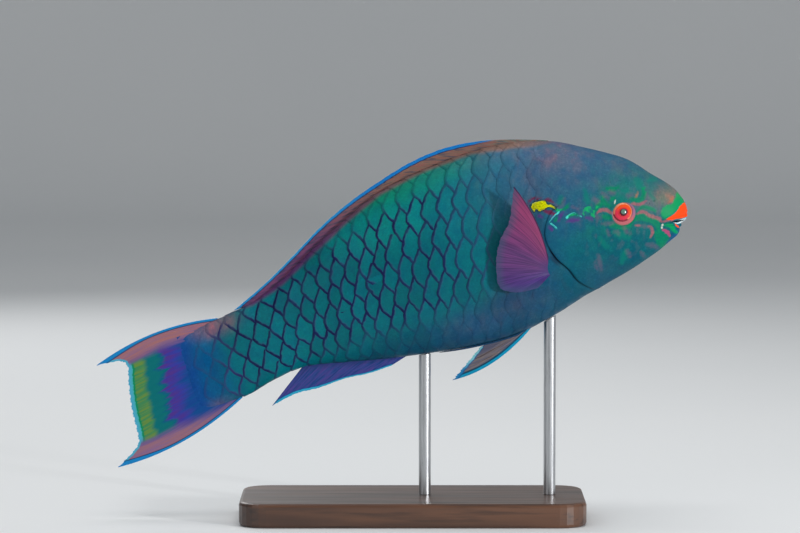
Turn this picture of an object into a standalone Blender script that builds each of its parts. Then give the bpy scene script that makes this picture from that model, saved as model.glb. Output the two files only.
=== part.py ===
"""Dusky parrotfish, a life-size still model held nose-up on a plain display stand.

The fish is drawn in its own axes, in millimetres: u runs from the mouth to the tail, v runs up
across the body, and y runs to the fish's left. place() turns that into metres with +Z up, with
the head at +X and the right flank facing -Y.
"""
import math

import bmesh
import bpy
import numpy as np
from mathutils import Vector, bvhtree
from mathutils.geometry import delaunay_2d_cdt

# Driving dimensions, in millimetres and degrees
PITCH = math.radians(17.3)
MOUTH_X, MOUTH_Z = 170.6, 176.0
GAP = 0.3
RIGHT, LEFT = -1, 1

# Each row is a slice across the body: its top point (u, v), its bottom point (u, v), its half width
BODY_SLICES = np.array([
    (-2.0, 4.0, 0.6, -2.0, 2.6),
    (-1.8, 7.4, 3.6, -4.8, 5.6),
    (-0.4, 12.6, 7.6, -8.4, 8.2),
    (3.2, 19.7, 13.0, -10.8, 10.6),
    (13.0, 30.9, 22.0, -14.4, 14.0),
    (23.8, 42.8, 37.0, -19.2, 17.8),
    (42.0, 54.4, 53.0, -23.0, 21.4),
    (62.0, 65.2, 70.0, -27.0, 24.2),
    (85.0, 71.6, 90.0, -32.4, 25.2),
    (110.0, 73.2, 115.0, -36.6, 25.2),
    (139.0, 71.4, 140.0, -35.6, 24.0),
    (166.0, 66.6, 165.0, -32.0, 22.0),
    (191.0, 56.8, 190.0, -27.6, 19.2),
    (215.0, 45.4, 215.0, -22.0, 15.8),
    (236.0, 34.6, 236.0, -17.8, 12.4),
    (255.0, 27.4, 255.0, -19.4, 9.2),
    (272.0, 25.0, 272.0, -23.4, 6.2),
    (284.0, 24.0, 284.0, -24.4, 4.2),
])
SLICE_LENGTH = 19.0
WIDEST_SHARE = 0.47
FLANK_POWER = 0.86
RIDGE_POWER = 0.22
PEDUNCLE_START, BODY_END = 13.55, 16.35

# The gill opening's edge and the front of the gill cover, each as (slice, degrees round the flank)
GILL_EDGE = [(6.42, -86), (6.75, -64), (7.08, -47), (7.29, -32), (7.6, -20), (7.76, -7), (7.66, 4),
             (7.3, 14), (6.9, 20)]
CHEEK_EDGE = [(5.6, -86), (5.6, -64), (5.75, -47), (5.9, -32), (6.0, -20), (6.05, -7), (6.1, 4),
              (6.25, 14), (6.5, 20)]
# The seam between head and trunk, from the throat to the nape, hidden by the gill covers on the flank
HEAD_SEAM = [(-90, 6.3), (-64, 6.6), (-47, 6.95), (-32, 7.15), (-20, 7.4), (-7, 7.55), (4, 7.5),
             (14, 7.2), (40, 7.0), (90, 6.9)]

SLICES_PER_ROW = 3
AROUND = 40

# The large scales, by distance along the flank's midline: how long the bare part of one is, how far apart
# their rows lie round the body, where the middle row runs, and how far a row lags the one below it
SCALE_LENGTH = [(150, 8.8), (190, 8.9), (230, 8.5), (275, 12.6)]
ROWS_APART = [(150, 16.4), (190, 12.0), (230, 11.9), (275, 8.6)]
MIDDLE_ROW = [(150, 2.5), (215, 6.3), (280, 5.5)]
ROW_LAG = [(150, 0.15), (270, 0.54)]
SCALE_PHASE = 0.15
# A scale's rear edge: how far below its middle it reaches back most, and how steeply it runs forward from
# there, upwards and downwards
LOWEST_BACK = [(150, 2.0), (270, 0.0)]
EDGE_SLOPE_UP = [(150, 0.95), (270, 0.68)]
EDGE_SLOPE_DOWN = [(150, 0.46), (270, 0.92)]
EDGE_ROUND_UP, EDGE_ROUND_DOWN = [(150, 7.0), (270, 2.2)], [(150, 2.6), (270, 2.2)]
FIRST_SCALE, ROWS = 80.0, range(-5, 6)
SCALE_REACH = (-0.33, 0.57)
SCALE_RISE, LEAST_RISE, SCALE_STEP, SCALE_CLEAR = 0.6, 0.05, 0.5, 1.2
SHOULDER_FADE, BELLY_FADE, RIDGE_FADE = (8.1, 9.6), (-62, -48), (1.5, 7.0)

EYE_AT = (35.1, 14.7)
EYE_RADIUS = 7.2
EYE_SUNK = 4.6
LID_RADIUS, LID_TUBE = 7.0, 1.1

# The mouth: its margins on the upper and the lower jaw, from in front of the lips back to the corner
UPPER_MARGIN = [(-6.0, 1.3), (0.0, 1.2), (6.0, 1.4), (15.3, 2.8)]
LOWER_MARGIN = [(-6.0, -3.7), (2.0, -3.4), (8.0, -1.9), (15.3, 2.1)]
BITE_LINE = [(-6.0, -1.0), (4.0, -0.7), (10.5, 0.8)]
BEAK_SUNK = 0.3
LIP_TUBE = 1.0
LIP_BACK = 3.75
NOSTRILS = [(15.6, 15.2), (18.6, 14.6)]
NOSTRIL_RADIUS = 0.7

MEMBRANE, RAY = 0.28, 0.52
ROOT_DEPTH = 1.5


def spline(rows, t):
    """The smooth value at t of a table of rows, where t = i gives row i."""
    last = len(rows) - 1
    i = int(min(max(math.floor(t), 0), last - 1))
    f = t - i
    a, b = rows[max(i - 1, 0)], rows[i]
    c, d = rows[i + 1], rows[min(i + 2, last)]
    return 0.5 * (2 * b + (c - a) * f + (2 * a - 5 * b + 4 * c - d) * f ** 2
                  + (3 * b - a - 3 * c + d) * f ** 3)


def place(u, y, v):
    """A point in the fish's own axes, in millimetres, as a world point in metres."""
    x = MOUTH_X - u * math.cos(PITCH) - v * math.sin(PITCH)
    z = MOUTH_Z - u * math.sin(PITCH) + v * math.cos(PITCH)
    return Vector((x, y, z)) / 1000


def skin(t, angle):
    """The body's surface at slice t. The angle is 0 at the flank's widest line and 90 degrees at the back."""
    top_u, top_v, low_u, low_v, half = spline(BODY_SLICES, t)
    rise = math.sin(angle)
    share = WIDEST_SHARE + rise * (1 - WIDEST_SHARE if rise > 0 else WIDEST_SHARE)
    power = FLANK_POWER + RIDGE_POWER * max(rise, 0)
    y = half * math.copysign(abs(math.cos(angle)) ** power, math.cos(angle))
    return np.array((low_u + (top_u - low_u) * share, y, low_v + (top_v - low_v) * share))


def skin_out(t, angle, out):
    """A point that stands out from the body's surface by out millimetres, and the outward direction there."""
    step = 0.02
    here = skin(t, angle)
    along = skin(t + step, angle) - skin(t - step, angle)
    round_it = skin(t, angle + step) - skin(t, angle - step)
    out_way = np.cross(round_it, along)
    out_way /= np.linalg.norm(out_way)
    middle = (skin(t, math.pi / 2) + skin(t, -math.pi / 2)) / 2
    if np.dot(out_way, here - middle) < 0:
        out_way = -out_way
    return here + out_way * out, out_way


def slice_at(u, top):
    """The slice whose top or bottom point lies at u."""
    column = 0 if top else 2
    low, high = 1.0, len(BODY_SLICES) - 1.0
    for _ in range(40):
        middle = (low + high) / 2
        if spline(BODY_SLICES, middle)[column] < u:
            low = middle
        else:
            high = middle
    return low


def flank_point(u, v, side, out=0.0):
    """The point of the flank that lies at u, v as seen from the side, out millimetres off the surface."""
    t, angle = slice_at(u, True), 0.2
    for _ in range(30):
        here, step = skin(t, angle), 0.01
        by_t = (skin(t + step, angle) - here) / step
        by_angle = (skin(t, angle + step) - here) / step
        matrix = np.array(((by_t[0], by_angle[0]), (by_t[2], by_angle[2])))
        change = np.linalg.solve(matrix, (u - here[0], v - here[2]))
        t += max(min(change[0], 0.5), -0.5)
        angle = max(min(angle + max(min(change[1], 0.2), -0.2), 1.5), -1.5)
    point, out_way = skin_out(t, angle, out)
    return point * (1, side, 1), out_way * (1, side, 1)


def material(name, colour, roughness=0.4, metallic=0.0):
    made = bpy.data.materials.new(name)
    made.use_nodes = True
    shader = made.node_tree.nodes["Principled BSDF"]
    shader.inputs["Base Color"].default_value = (*colour, 1)
    shader.inputs["Roughness"].default_value = roughness
    shader.inputs["Metallic"].default_value = metallic
    return made


def solid(name, points, faces, finish, smooth=40):
    """One named object from points in the fish's own axes and faces by point number."""
    mesh = bpy.data.meshes.new(name)
    mesh.from_pydata([place(*p) for p in points], [], [tuple(int(i) for i in f) for f in faces])
    edit = bmesh.new()
    edit.from_mesh(mesh)
    bmesh.ops.remove_doubles(edit, verts=edit.verts, dist=1e-6)
    bmesh.ops.recalc_face_normals(edit, faces=edit.faces)
    edit.to_mesh(mesh)
    edit.free()
    mesh.materials.append(finish)
    mesh.shade_smooth()
    mesh.set_sharp_from_angle(angle=math.radians(smooth))
    made = bpy.data.objects.new(name, mesh)
    bpy.context.scene.collection.objects.link(made)
    return made


def head_seam(angle):
    """The slice at which the head ends, at an angle round the body."""
    degrees = math.degrees(math.asin(math.sin(angle)))
    return float(table(degrees, HEAD_SEAM))


def at_every_angle(value):
    """An end of a length of the body as a function of the angle, also where it is one slice all round."""
    return value if callable(value) else lambda angle: value


def loft(name, start, end, finish, out=0.0):
    """A closed length of the body between two slices, out millimetres larger all round.

    Either end may be a function of the angle."""
    angles = [2 * math.pi * k / AROUND for k in range(AROUND)]
    starts = [at_every_angle(start)(a) for a in angles]
    ends = [at_every_angle(end)(a) for a in angles]
    count = max(2, round((max(ends) - min(starts)) * SLICES_PER_ROW)) + 1
    points, faces = [], []
    for share in np.linspace(0, 1, count):
        points += [skin_out(s + (e - s) * share, a, out)[0] for s, e, a in zip(starts, ends, angles)]
    for i in range(count - 1):
        for k in range(AROUND):
            a, b = i * AROUND + k, i * AROUND + (k + 1) % AROUND
            faces.append((a, b, b + AROUND, a + AROUND))
    for first in (0, (count - 1) * AROUND):
        ring = range(first, first + AROUND)
        points.append(np.mean([points[k] for k in ring], axis=0))
        faces += [(k, first + (k + 1 - first) % AROUND, len(points) - 1) for k in ring]
    return solid(name, points, faces, finish)


def trunk_start(angle):
    return head_seam(angle) + GAP / SLICE_LENGTH


def trim_to_trunk(target, finish):
    """Cuts a fin's sunken root back to the trunk's surface, less the gap."""
    return combine(target, [loft("trunk_cutter", trunk_start, PEDUNCLE_START, finish, GAP)], "DIFFERENCE")


class Flank:
    """The right flank unrolled: s is the distance along its midline, and w the distance round from it."""

    def __init__(self):
        self.slices = np.linspace(0, BODY_END, 99)
        self.angles = np.radians(np.linspace(-90, 90, 61))
        self.s = self.lengths(np.array([skin(t, 0) for t in self.slices]))
        self.w = []
        for t in self.slices:
            round_it = self.lengths(np.array([skin(t, a) for a in self.angles]))
            self.w.append(round_it - np.interp(0, self.angles, round_it))
        self.w = np.array(self.w)

    @staticmethod
    def lengths(points):
        return np.concatenate(((0,), np.cumsum(np.linalg.norm(np.diff(points, axis=0), axis=1))))

    def slice_and_angle(self, s, w):
        t = float(np.interp(s, self.s, self.slices))
        return t, float(np.interp(w, self.round_at(t), self.angles))

    def unrolled(self, t, angle):
        w = np.interp(angle, self.angles, self.round_at(t))
        return float(np.interp(t, self.slices, self.s)), float(w)

    def round_at(self, t):
        share = np.interp(t, self.slices, np.arange(len(self.slices)))
        low = min(int(share), len(self.slices) - 2)
        return self.w[low] + (self.w[low + 1] - self.w[low]) * (share - low)


def ramp(x, ends):
    """Rises smoothly from 0 to 1 between the two ends."""
    f = min(max((x - ends[0]) / (ends[1] - ends[0]), 0), 1)
    return f * f * (3 - 2 * f)


def table(x, pairs):
    return np.interp(x, *zip(*pairs))


def scale_rise(t, angle, to_ridge):
    """How high a scale's rear edge stands at a place on the flank."""
    rise = SCALE_RISE * ramp(t, SHOULDER_FADE) * ramp(to_ridge, RIDGE_FADE)
    return rise * ramp(math.degrees(angle), BELLY_FADE)


def edge_ahead(s, side):
    """How far forward of its rearmost point a scale's rear edge is, at a height above the scale's middle."""
    above = side + table(s, LOWEST_BACK)
    slope, rounding = (EDGE_SLOPE_UP, EDGE_ROUND_UP) if above > 0 else (EDGE_SLOPE_DOWN, EDGE_ROUND_DOWN)
    return table(s, slope) * (math.hypot(above, table(s, rounding)) - table(s, rounding))


def scale_edges(flank):
    """The rear edges of the scales on one flank, each a list of (s, w, height) with a low twin behind it."""
    s = np.arange(FIRST_SCALE, flank.s[-1], 0.5)
    steps = np.cumsum(0.5 / table(s, SCALE_LENGTH))
    steps -= np.interp(150, s, steps)
    for row in ROWS:
        own = steps - table(s, ROW_LAG) * row - SCALE_PHASE
        for number in range(math.ceil(own[0]), math.floor(own[-1]) + 1):
            rear = float(np.interp(number, own, s))
            apart = table(rear, ROWS_APART)
            middle = table(rear, MIDDLE_ROW) + row * apart
            high, low = [], []
            for share in np.linspace(-1, 1, 5):
                side = apart * (SCALE_REACH[0] + (SCALE_REACH[1] - SCALE_REACH[0]) * (share + 1) / 2)
                back = rear - edge_ahead(rear, side)
                high.append((back, middle + side, 1 - abs(share) ** 3))
                low.append((back + SCALE_STEP, middle + side, 0.0))
            yield high, low[1:-1]


def flank_rim(start, end):
    """The outline of a flank between two ends, as (slice, angle) all the way round it."""
    low, high = -math.pi / 2, math.pi / 2
    spread = np.linspace(low, high, AROUND // 2 + 1)
    count = round((end(0) - start(0)) * SLICES_PER_ROW) + 1
    back = [(t, high) for t in np.linspace(start(high), end(high), count)]
    belly = [(t, low) for t in np.linspace(start(low), end(low), count)]
    rear = [(end(a), a) for a in spread]
    front = [(start(a), a) for a in spread]
    return rear, back[-2:0:-1], front[::-1], belly[1:-1]


def scaled_length(name, start, end, finish):
    """A closed length of the body whose surface rises to each scale's rear edge and drops behind it."""
    flank = Flank()
    start, end = at_every_angle(start), at_every_angle(end)
    rim = flank_rim(start, end)
    spots = [(t, a, 0.0) for side in rim for t, a in side]
    flat = [Vector(flank.unrolled(t, a)) for t, a, _rise in spots]
    outline, lines = list(range(len(flat))), []
    for edge in (half for pair in scale_edges(flank) for half in pair):
        previous = None
        for s, w, height in edge:
            t, angle = flank.slice_and_angle(s, w)
            round_it = flank.round_at(t)
            to_ridge = min(w - round_it[0], round_it[-1] - w)
            to_end = min(t - start(angle), end(angle) - t) * SLICE_LENGTH
            rise = scale_rise(t, angle, to_ridge)
            flat_twin = height == 0 and rise < LEAST_RISE
            if min(to_ridge, to_end) < SCALE_CLEAR or flat_twin:
                previous = None
                continue
            flat.append(Vector((s, w)))
            spots.append((t, angle, rise * height))
            if previous is not None:
                lines.append((previous, len(flat) - 1))
            previous = len(flat) - 1
    inside, tolerance = 1, 1e-4
    found, _lines, faces, sources = delaunay_2d_cdt(flat, lines, [outline], inside, tolerance)[:4]
    right = []
    for at, source in zip(found, sources):
        t, angle, rise = spots[source[0]] if source else (*flank.slice_and_angle(*at), 0.0)
        right.append(skin_out(t, angle, rise)[0] * (1, RIGHT, 1))
    count = len(right)
    points = right + [p * (1, -1, 1) for p in right]
    faces = [tuple(f) for f in faces] + [tuple(k + count for k in reversed(f)) for f in faces]
    for edge in (rim[0], rim[2]):
        half_ring = [skin_out(t, a, 0.0)[0] for t, a in edge]
        ring = half_ring + [p * (1, -1, 1) for p in half_ring[-2:0:-1]]
        first = len(points)
        points += ring + [np.mean(ring, axis=0)]
        faces += [(first + k, first + (k + 1) % len(ring), len(points) - 1) for k in range(len(ring))]
    return solid(name, points, faces, finish)


def plate(name, middle, out_way, half, finish):
    """A closed thin plate from grids of middle points, outward directions and half thicknesses.

    Both faces are split into triangles along the same diagonals."""
    rows, columns = half.shape
    front = (middle + out_way * half[..., None]).reshape(-1, 3)
    back = (middle - out_way * half[..., None]).reshape(-1, 3)
    count = rows * columns
    faces = []
    for i in range(rows - 1):
        for j in range(columns - 1):
            a, b = i * columns + j, i * columns + j + 1
            c, d = b + columns, a + columns
            faces += [(a, b, c), (a, c, d), (a + count, c + count, b + count),
                      (a + count, d + count, c + count)]
    rim = [j for j in range(columns)]
    rim += [i * columns + columns - 1 for i in range(1, rows)]
    rim += [(rows - 1) * columns + j for j in range(columns - 2, -1, -1)]
    rim += [i * columns for i in range(rows - 2, 0, -1)]
    for k, a in enumerate(rim):
        b = rim[(k + 1) % len(rim)]
        faces += [(a, a + count, b), (b, a + count, b + count)]
    return solid(name, np.concatenate((front, back)), faces, finish)


def face_way(path, a, b):
    """The direction that a fin's face looks at a across its rays and b out along them."""
    step = 0.01
    across = path(min(a + step, 1), b) - path(max(a - step, 0), b)
    outward = path(a, min(b + step, 1)) - path(a, max(b - step, 0))
    way = np.cross(across, outward)
    return way / np.linalg.norm(way)


def fin(name, rays, path, finish, rows=6, root=0.0):
    """A fin of rays with a thinner membrane between them, raised in its own surface.

    path(a, b) is a point of the fin, with a across the rays and b out along them. root is added
    to the half thickness at the base."""
    across = np.linspace(0, 1, 2 * rays - 1)
    outward = np.linspace(0, 1, rows)
    middle = np.zeros((rows, len(across), 3))
    ways, half = np.zeros_like(middle), np.zeros(middle.shape[:2])
    for j, a in enumerate(across):
        is_ray = j % 2 == 0
        for i, b in enumerate(outward):
            reach = b if is_ray else b * 0.975
            middle[i, j] = path(a, reach)
            ways[i, j] = face_way(path, a, reach)
            ridge = (RAY - MEMBRANE) * min(1, 5 * b) * (1 - 0.5 * b) if is_ray else 0.0
            half[i, j] = MEMBRANE + ridge + root * (1 - b) ** 3
    return plate(name, middle, ways, half, finish)


def curve(points):
    """A smooth function from 0 to 1 through the points, which are set evenly along it."""
    table = np.array(points, float)
    return lambda a: spline(table, a * (len(table) - 1))


def bowed(start, end, bow, b):
    """A point b of the way along a line that bows sideways by the vector bow at its middle."""
    return start + (end - start) * b + bow * 4 * b * (1 - b)


def median_fin(name, rays, base_u, edge, top, finish):
    """The dorsal or anal fin: its rays stand on the ridge between two stations and end on the edge curve."""
    edge_at = curve(edge)
    ridge = math.pi / 2 if top else -math.pi / 2

    def path(a, b):
        t = slice_at(base_u[0] + (base_u[1] - base_u[0]) * a, top)
        base = skin_out(t, ridge, GAP)[0]
        u, v = edge_at(a)
        return bowed(base, np.array((u, 0, v)), np.zeros(3), b)

    return fin(name, rays, path, finish, rows=5, root=0.5)


def ball(name, centre, radius, turn, finish, segments=20, rings=10):
    """A round body, turned so that its own Z looks along turn."""
    edit = bmesh.new()
    bmesh.ops.create_uvsphere(edit, u_segments=segments, v_segments=rings, radius=1)
    spin = Vector(turn).to_track_quat("Z", "Y").to_matrix()
    points = [np.array(spin @ v.co) * radius + centre for v in edit.verts]
    faces = [[v.index for v in f.verts] for f in edit.faces]
    edit.free()
    return solid(name, points, faces, finish)


def tube(name, centres, radii, upright, finish, closed=False, sides=6):
    """A round tube along centre points, with a radius at each, open or closed on itself.

    upright is a direction that the tube's path never follows."""
    centres = np.array(centres, float)
    count = len(centres)
    points, faces = [], []
    for i, centre in enumerate(centres):
        before = centres[(i - 1) % count] if closed or i else centre
        after = centres[(i + 1) % count] if closed or i < count - 1 else centre
        across = np.cross(after - before, upright)
        across /= np.linalg.norm(across)
        over = np.cross(across, after - before)
        over /= np.linalg.norm(over)
        for k in range(sides):
            turn = 2 * math.pi * k / sides
            points.append(centre + radii[i] * (across * math.cos(turn) + over * math.sin(turn)))
    for i in range(count if closed else count - 1):
        for k in range(sides):
            a, b = i * sides + k, i * sides + (k + 1) % sides
            c, d = (b + sides) % (count * sides), (a + sides) % (count * sides)
            faces.append((a, b, c, d))
    if not closed:
        faces += [range(sides), range((count - 1) * sides, count * sides)]
    return solid(name, points, faces, finish)


def prism(name, outline, half_width, finish):
    """A closed (u, v) outline drawn out to both sides of the fish."""
    count = len(outline)
    points = [(u, y, v) for y in (-half_width, half_width) for u, v in outline]
    faces = [range(count), range(count, 2 * count)]
    faces += [(k, (k + 1) % count, count + (k + 1) % count, count + k) for k in range(count)]
    return solid(name, points, faces, finish)


def combine(target, pieces, operation):
    """Joins the pieces to the target, or cuts them from it, and removes them."""
    group = bpy.data.collections.new(operation.lower())
    bpy.context.scene.collection.children.link(group)
    for piece in pieces:
        bpy.context.scene.collection.objects.unlink(piece)
        group.objects.link(piece)
    change = target.modifiers.new(operation, "BOOLEAN")
    change.operation, change.solver = operation, "EXACT"
    change.operand_type, change.collection = "COLLECTION", group
    bpy.context.view_layer.objects.active = target
    bpy.ops.object.modifier_apply(modifier=change.name)
    for piece in pieces:
        bpy.data.objects.remove(piece)
    bpy.data.collections.remove(group)
    keep_largest(target.data)
    return target


def keep_largest(mesh):
    """Deletes all but the largest closed surface of a mesh."""
    edit = bmesh.new()
    edit.from_mesh(mesh)
    left, groups = set(edit.verts), []
    while left:
        found, todo = set(), [left.pop()]
        while todo:
            vert = todo.pop()
            found.add(vert)
            others = {e.other_vert(vert) for e in vert.link_edges} & left
            left -= others
            todo += others
        groups.append(found)
    groups.sort(key=len)
    for group in groups[:-1]:
        bmesh.ops.delete(edit, geom=list(group), context="VERTS")
    edit.to_mesh(mesh)
    edit.free()


def clear_scene():
    for item in list(bpy.data.objects):
        bpy.data.objects.remove(item)


def eye_frame(side):
    """The middle of an eyeball and the way that it looks."""
    surface, out_way = flank_point(*EYE_AT, side)
    return surface - out_way * EYE_SUNK, out_way


def lid_ring(side, finish):
    """The raised rim of skin round an eye."""
    centre, look = eye_frame(side)
    spin = np.array(Vector(look).to_track_quat("Z", "Y").to_matrix())
    ring, count = [], 20
    for k in range(count):
        turn = 2 * math.pi * k / count
        aim = centre + spin @ np.array((math.cos(turn), math.sin(turn), 0)) * LID_RADIUS
        on_skin = flank_point(aim[0], aim[2], side, -0.2)[0]
        ring.append(on_skin)
    return tube(f"lid_{side}", ring, [LID_TUBE] * count, look, finish, closed=True)


def lip(name, margin, above, finish):
    """The fold of skin along one margin of the mouth, from corner to corner round the muzzle."""
    margin_u, margin_v = zip(*margin)
    flank = []
    for t in np.linspace(LIP_BACK, 0.1, 10):
        low, high = -1.5, 1.5
        for _ in range(30):
            angle = (low + high) / 2
            u, _y, v = skin(t, angle)
            if v < np.interp(u, margin_u, margin_v) + above:
                low = angle
            else:
                high = angle
        front = skin_out(t, angle, -0.25)[0]
        if low == -1.5:
            break
        flank.append(front)
    front = front * (1, 0, 1) - (0.5 + above / 2, 0, 0)
    path = [p * (1, RIGHT, 1) for p in flank] + [front] + flank[::-1]
    thick = [LIP_TUBE * min(1, 0.45 + 0.2 * min(k, len(path) - 1 - k)) for k in range(len(path))]
    return tube(name, path, thick, (0, 0, 1), finish)


def make_head(finish):
    head = loft("head", 0.0, head_seam, finish)
    folds = [lid_ring(side, finish) for side in (RIGHT, LEFT)]
    folds.append(lip("upper_lip", UPPER_MARGIN, 0.7, finish))
    folds.append(lip("lower_lip", LOWER_MARGIN, -0.7, finish))
    combine(head, folds, "UNION")
    cuts = [prism("mouth", UPPER_MARGIN + LOWER_MARGIN[::-1], 20.0, finish)]
    for side in (RIGHT, LEFT):
        centre, look = eye_frame(side)
        cuts.append(ball(f"socket_{side}", centre, EYE_RADIUS + GAP, look, finish))
        for k, at in enumerate(NOSTRILS):
            pit, look = flank_point(*at, side)
            cuts.append(ball(f"nostril_{side}_{k}", pit, NOSTRIL_RADIUS, look, finish, 8, 6))
    return combine(head, cuts, "DIFFERENCE")


def make_beak(finish):
    """The fused teeth of each jaw, which fill the mouth just inside the lips."""
    half_gap = np.array((0, GAP / 2))
    upper = [np.array(p) - (0, GAP) for p in UPPER_MARGIN[:3]]
    upper += [np.array(p) + half_gap for p in BITE_LINE[::-1]]
    lower = [np.array(p) + (0, GAP) for p in LOWER_MARGIN[:3]]
    lower += [np.array(p) - half_gap for p in BITE_LINE[::-1]]
    for name, outline in (("beak_upper", upper), ("beak_lower", lower)):
        plate_of_teeth = loft(name, 0.0, 4.0, finish, -BEAK_SUNK)
        combine(plate_of_teeth, [prism("jaw", outline, 20.0, finish)], "INTERSECT")


def make_eyes(finish):
    for side, name in ((RIGHT, "eye_right"), (LEFT, "eye_left")):
        centre, look = eye_frame(side)
        ball(name, centre, EYE_RADIUS, look, finish)


def make_dorsal_fin(finish):
    edge = [(64.0, 66.4), (84.0, 73.1), (104.0, 78.0), (124.0, 79.7), (144.0, 77.6),
            (164.0, 72.4), (184.0, 66.0), (204.0, 57.4), (224.0, 46.3), (244.0, 35.8), (267.0, 25.8)]
    median_fin("dorsal_fin", 19, (61.0, 257.0), edge, True, finish)


def make_anal_fin(finish):
    edge = [(189.0, -32.0), (203.0, -32.4), (217.0, -31.2), (233.0, -31.9), (247.0, -31.2), (262.4, -33.9)]
    median_fin("anal_fin", 12, (178.0, 238.0), edge, False, finish)


def make_caudal_fin(finish):
    """The tail fin, as an upper and a lower half that meet at its middle ray."""
    base_u = spline(BODY_SLICES, BODY_END)[0] + GAP
    top_v, low_v = spline(BODY_SLICES, BODY_END)[[1, 3]]
    margin = curve([(353.1, 18.9), (339.6, 17.4), (335.8, 13.2), (337.8, 5.0), (339.6, -3.6), (340.8, -10.6),
                    (341.4, -17.6), (341.9, -24.8), (343.2, -31.4), (348.6, -35.8), (359.1, -41.4)])
    bow = curve([5.4, 2.0, 0.2, -1.0, -5.6])
    half_base = 5.2

    def half_fin(name, first, last, inner_gap):
        def path(a, b):
            a = first + (last - first) * a
            start = np.array((base_u, 0, top_v + (low_v - top_v) * a))
            u, v = margin(a)
            inner = inner_gap * (1 if a == 0.5 else 0)
            return bowed(start, np.array((u, 0, v)), np.array((0, 0, float(bow(a)))), b) + (0, 0, inner)

        rays = 8
        across, outward = np.linspace(0, 1, 2 * rays - 1), np.linspace(0, 1, 9)
        middle = np.array([[path(a, b) for a in across] for b in outward])
        ways = np.zeros_like(middle) + (0, 1, 0)
        half = np.zeros(middle.shape[:2])
        for i, b in enumerate(outward):
            for j, a in enumerate(first + (last - first) * across):
                body_half = half_base * max(1 - abs(2 * a - 1) ** 2.5, 0) * max(1 - b / 0.35, 0) ** 1.5
                ridge = (RAY - MEMBRANE) * (1 - 0.5 * b) if j % 2 == 0 else 0
                half[i, j] = max(body_half, MEMBRANE + ridge)
        return plate(name, middle, ways, half, finish)

    half_fin("caudal_fin_upper", 0.0, 0.5, GAP / 2)
    half_fin("caudal_fin_lower", 0.5, 1.0, -GAP / 2)


def make_pectoral_fin(side, name, finish):
    """A fin raised off the flank, fanned up and back from a short base behind the gill cover."""
    tips = curve([(90.7, 48.7), (94.7, 39.4), (99.6, 29.5), (106.7, 22.1), (111.6, 14.0), (114.7, 4.7),
                  (115.4, -5.3), (106.4, -10.9), (94.7, -11.9)])
    root_high, root_low = (84.2, -0.6), (85.6, -7.6)

    def path(a, b):
        root_uv = np.array(root_high) + (np.array(root_low) - np.array(root_high)) * a
        root = flank_point(*root_uv, side, -ROOT_DEPTH)[0]
        u, v = tips(a)
        lift = 12.0 - 6.5 * a
        tip = np.array((u, root[1] + side * lift, v))
        return bowed(root, tip, np.array((-3.4 * (1 - a), side * 1.5, 0.5 * (1 - a))), b)

    trim_to_trunk(fin(name, 14, path, finish, rows=8, root=0.3), finish)


def pelvic_root(a):
    """Where a pelvic fin's rays leave the belly, as (slice, angle)."""
    return slice_at(101.0 + 6.0 * a, False), math.radians(-78 - 7 * a)


def make_lowered_pelvic_fin(side, name, finish):
    """A pelvic fin spread below the belly."""
    tip, inner = np.array((158.2, 16.0, -52.2)), np.array((136.5, 12.0, -38.0))

    def path(a, b):
        root = skin_out(*pelvic_root(a), -ROOT_DEPTH)[0]
        end = tip + (inner - tip) * a ** 1.2
        return bowed(root, end, np.array((0, 0, -5.8)) * (1 - a), b) * (1, side, 1)

    trim_to_trunk(fin(name, 6, path, finish, rows=7, root=0.3), finish)


def make_folded_pelvic_fin(side, name, finish):
    """A pelvic fin laid back along the belly."""
    tip_u, inner_u = 161.0, 138.0

    def path(a, b):
        t, angle = pelvic_root(a)
        tip_t = slice_at(tip_u + (inner_u - tip_u) * a ** 1.3, False)
        tip_angle = math.radians(-80 - 8 * a)
        lift = -ROOT_DEPTH + (ROOT_DEPTH + 1.2) * min(1, 5 * b) + 0.5 * b * (1 - a)
        here = skin_out(t + (tip_t - t) * b, angle + (tip_angle - angle) * b, lift)[0]
        return here * (1, side, 1)

    trim_to_trunk(fin(name, 6, path, finish, rows=9, root=0.0), finish)


def make_gill_cover(side, name, finish):
    """The plate over the gills: thin in front, with a free rear edge that overlaps the shoulder."""
    rear, front = curve(GILL_EDGE), curve(CHEEK_EDGE)
    rows, columns = 17, 11
    middle, ways = np.zeros((rows, columns, 3)), np.zeros((rows, columns, 3))
    half = np.zeros((rows, columns))
    for i, b in enumerate(np.linspace(0, 1, rows)):
        for j, a in enumerate(np.linspace(0, 1, columns)):
            t, degrees = front(b) + (rear(b) - front(b)) * a
            rim = min(1, 6 * a, 8 * (1 - a), 8 * (1 - b) + 0.3)
            half[i, j] = 0.26 + 0.34 * a * rim
            angle = math.radians(degrees)
            point, out_way = skin_out(t, angle, GAP + half[i, j] + 0.1)
            middle[i, j], ways[i, j] = point * (1, side, 1), out_way * (1, side, 1)
    return plate(name, middle, ways, half, finish)


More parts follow.
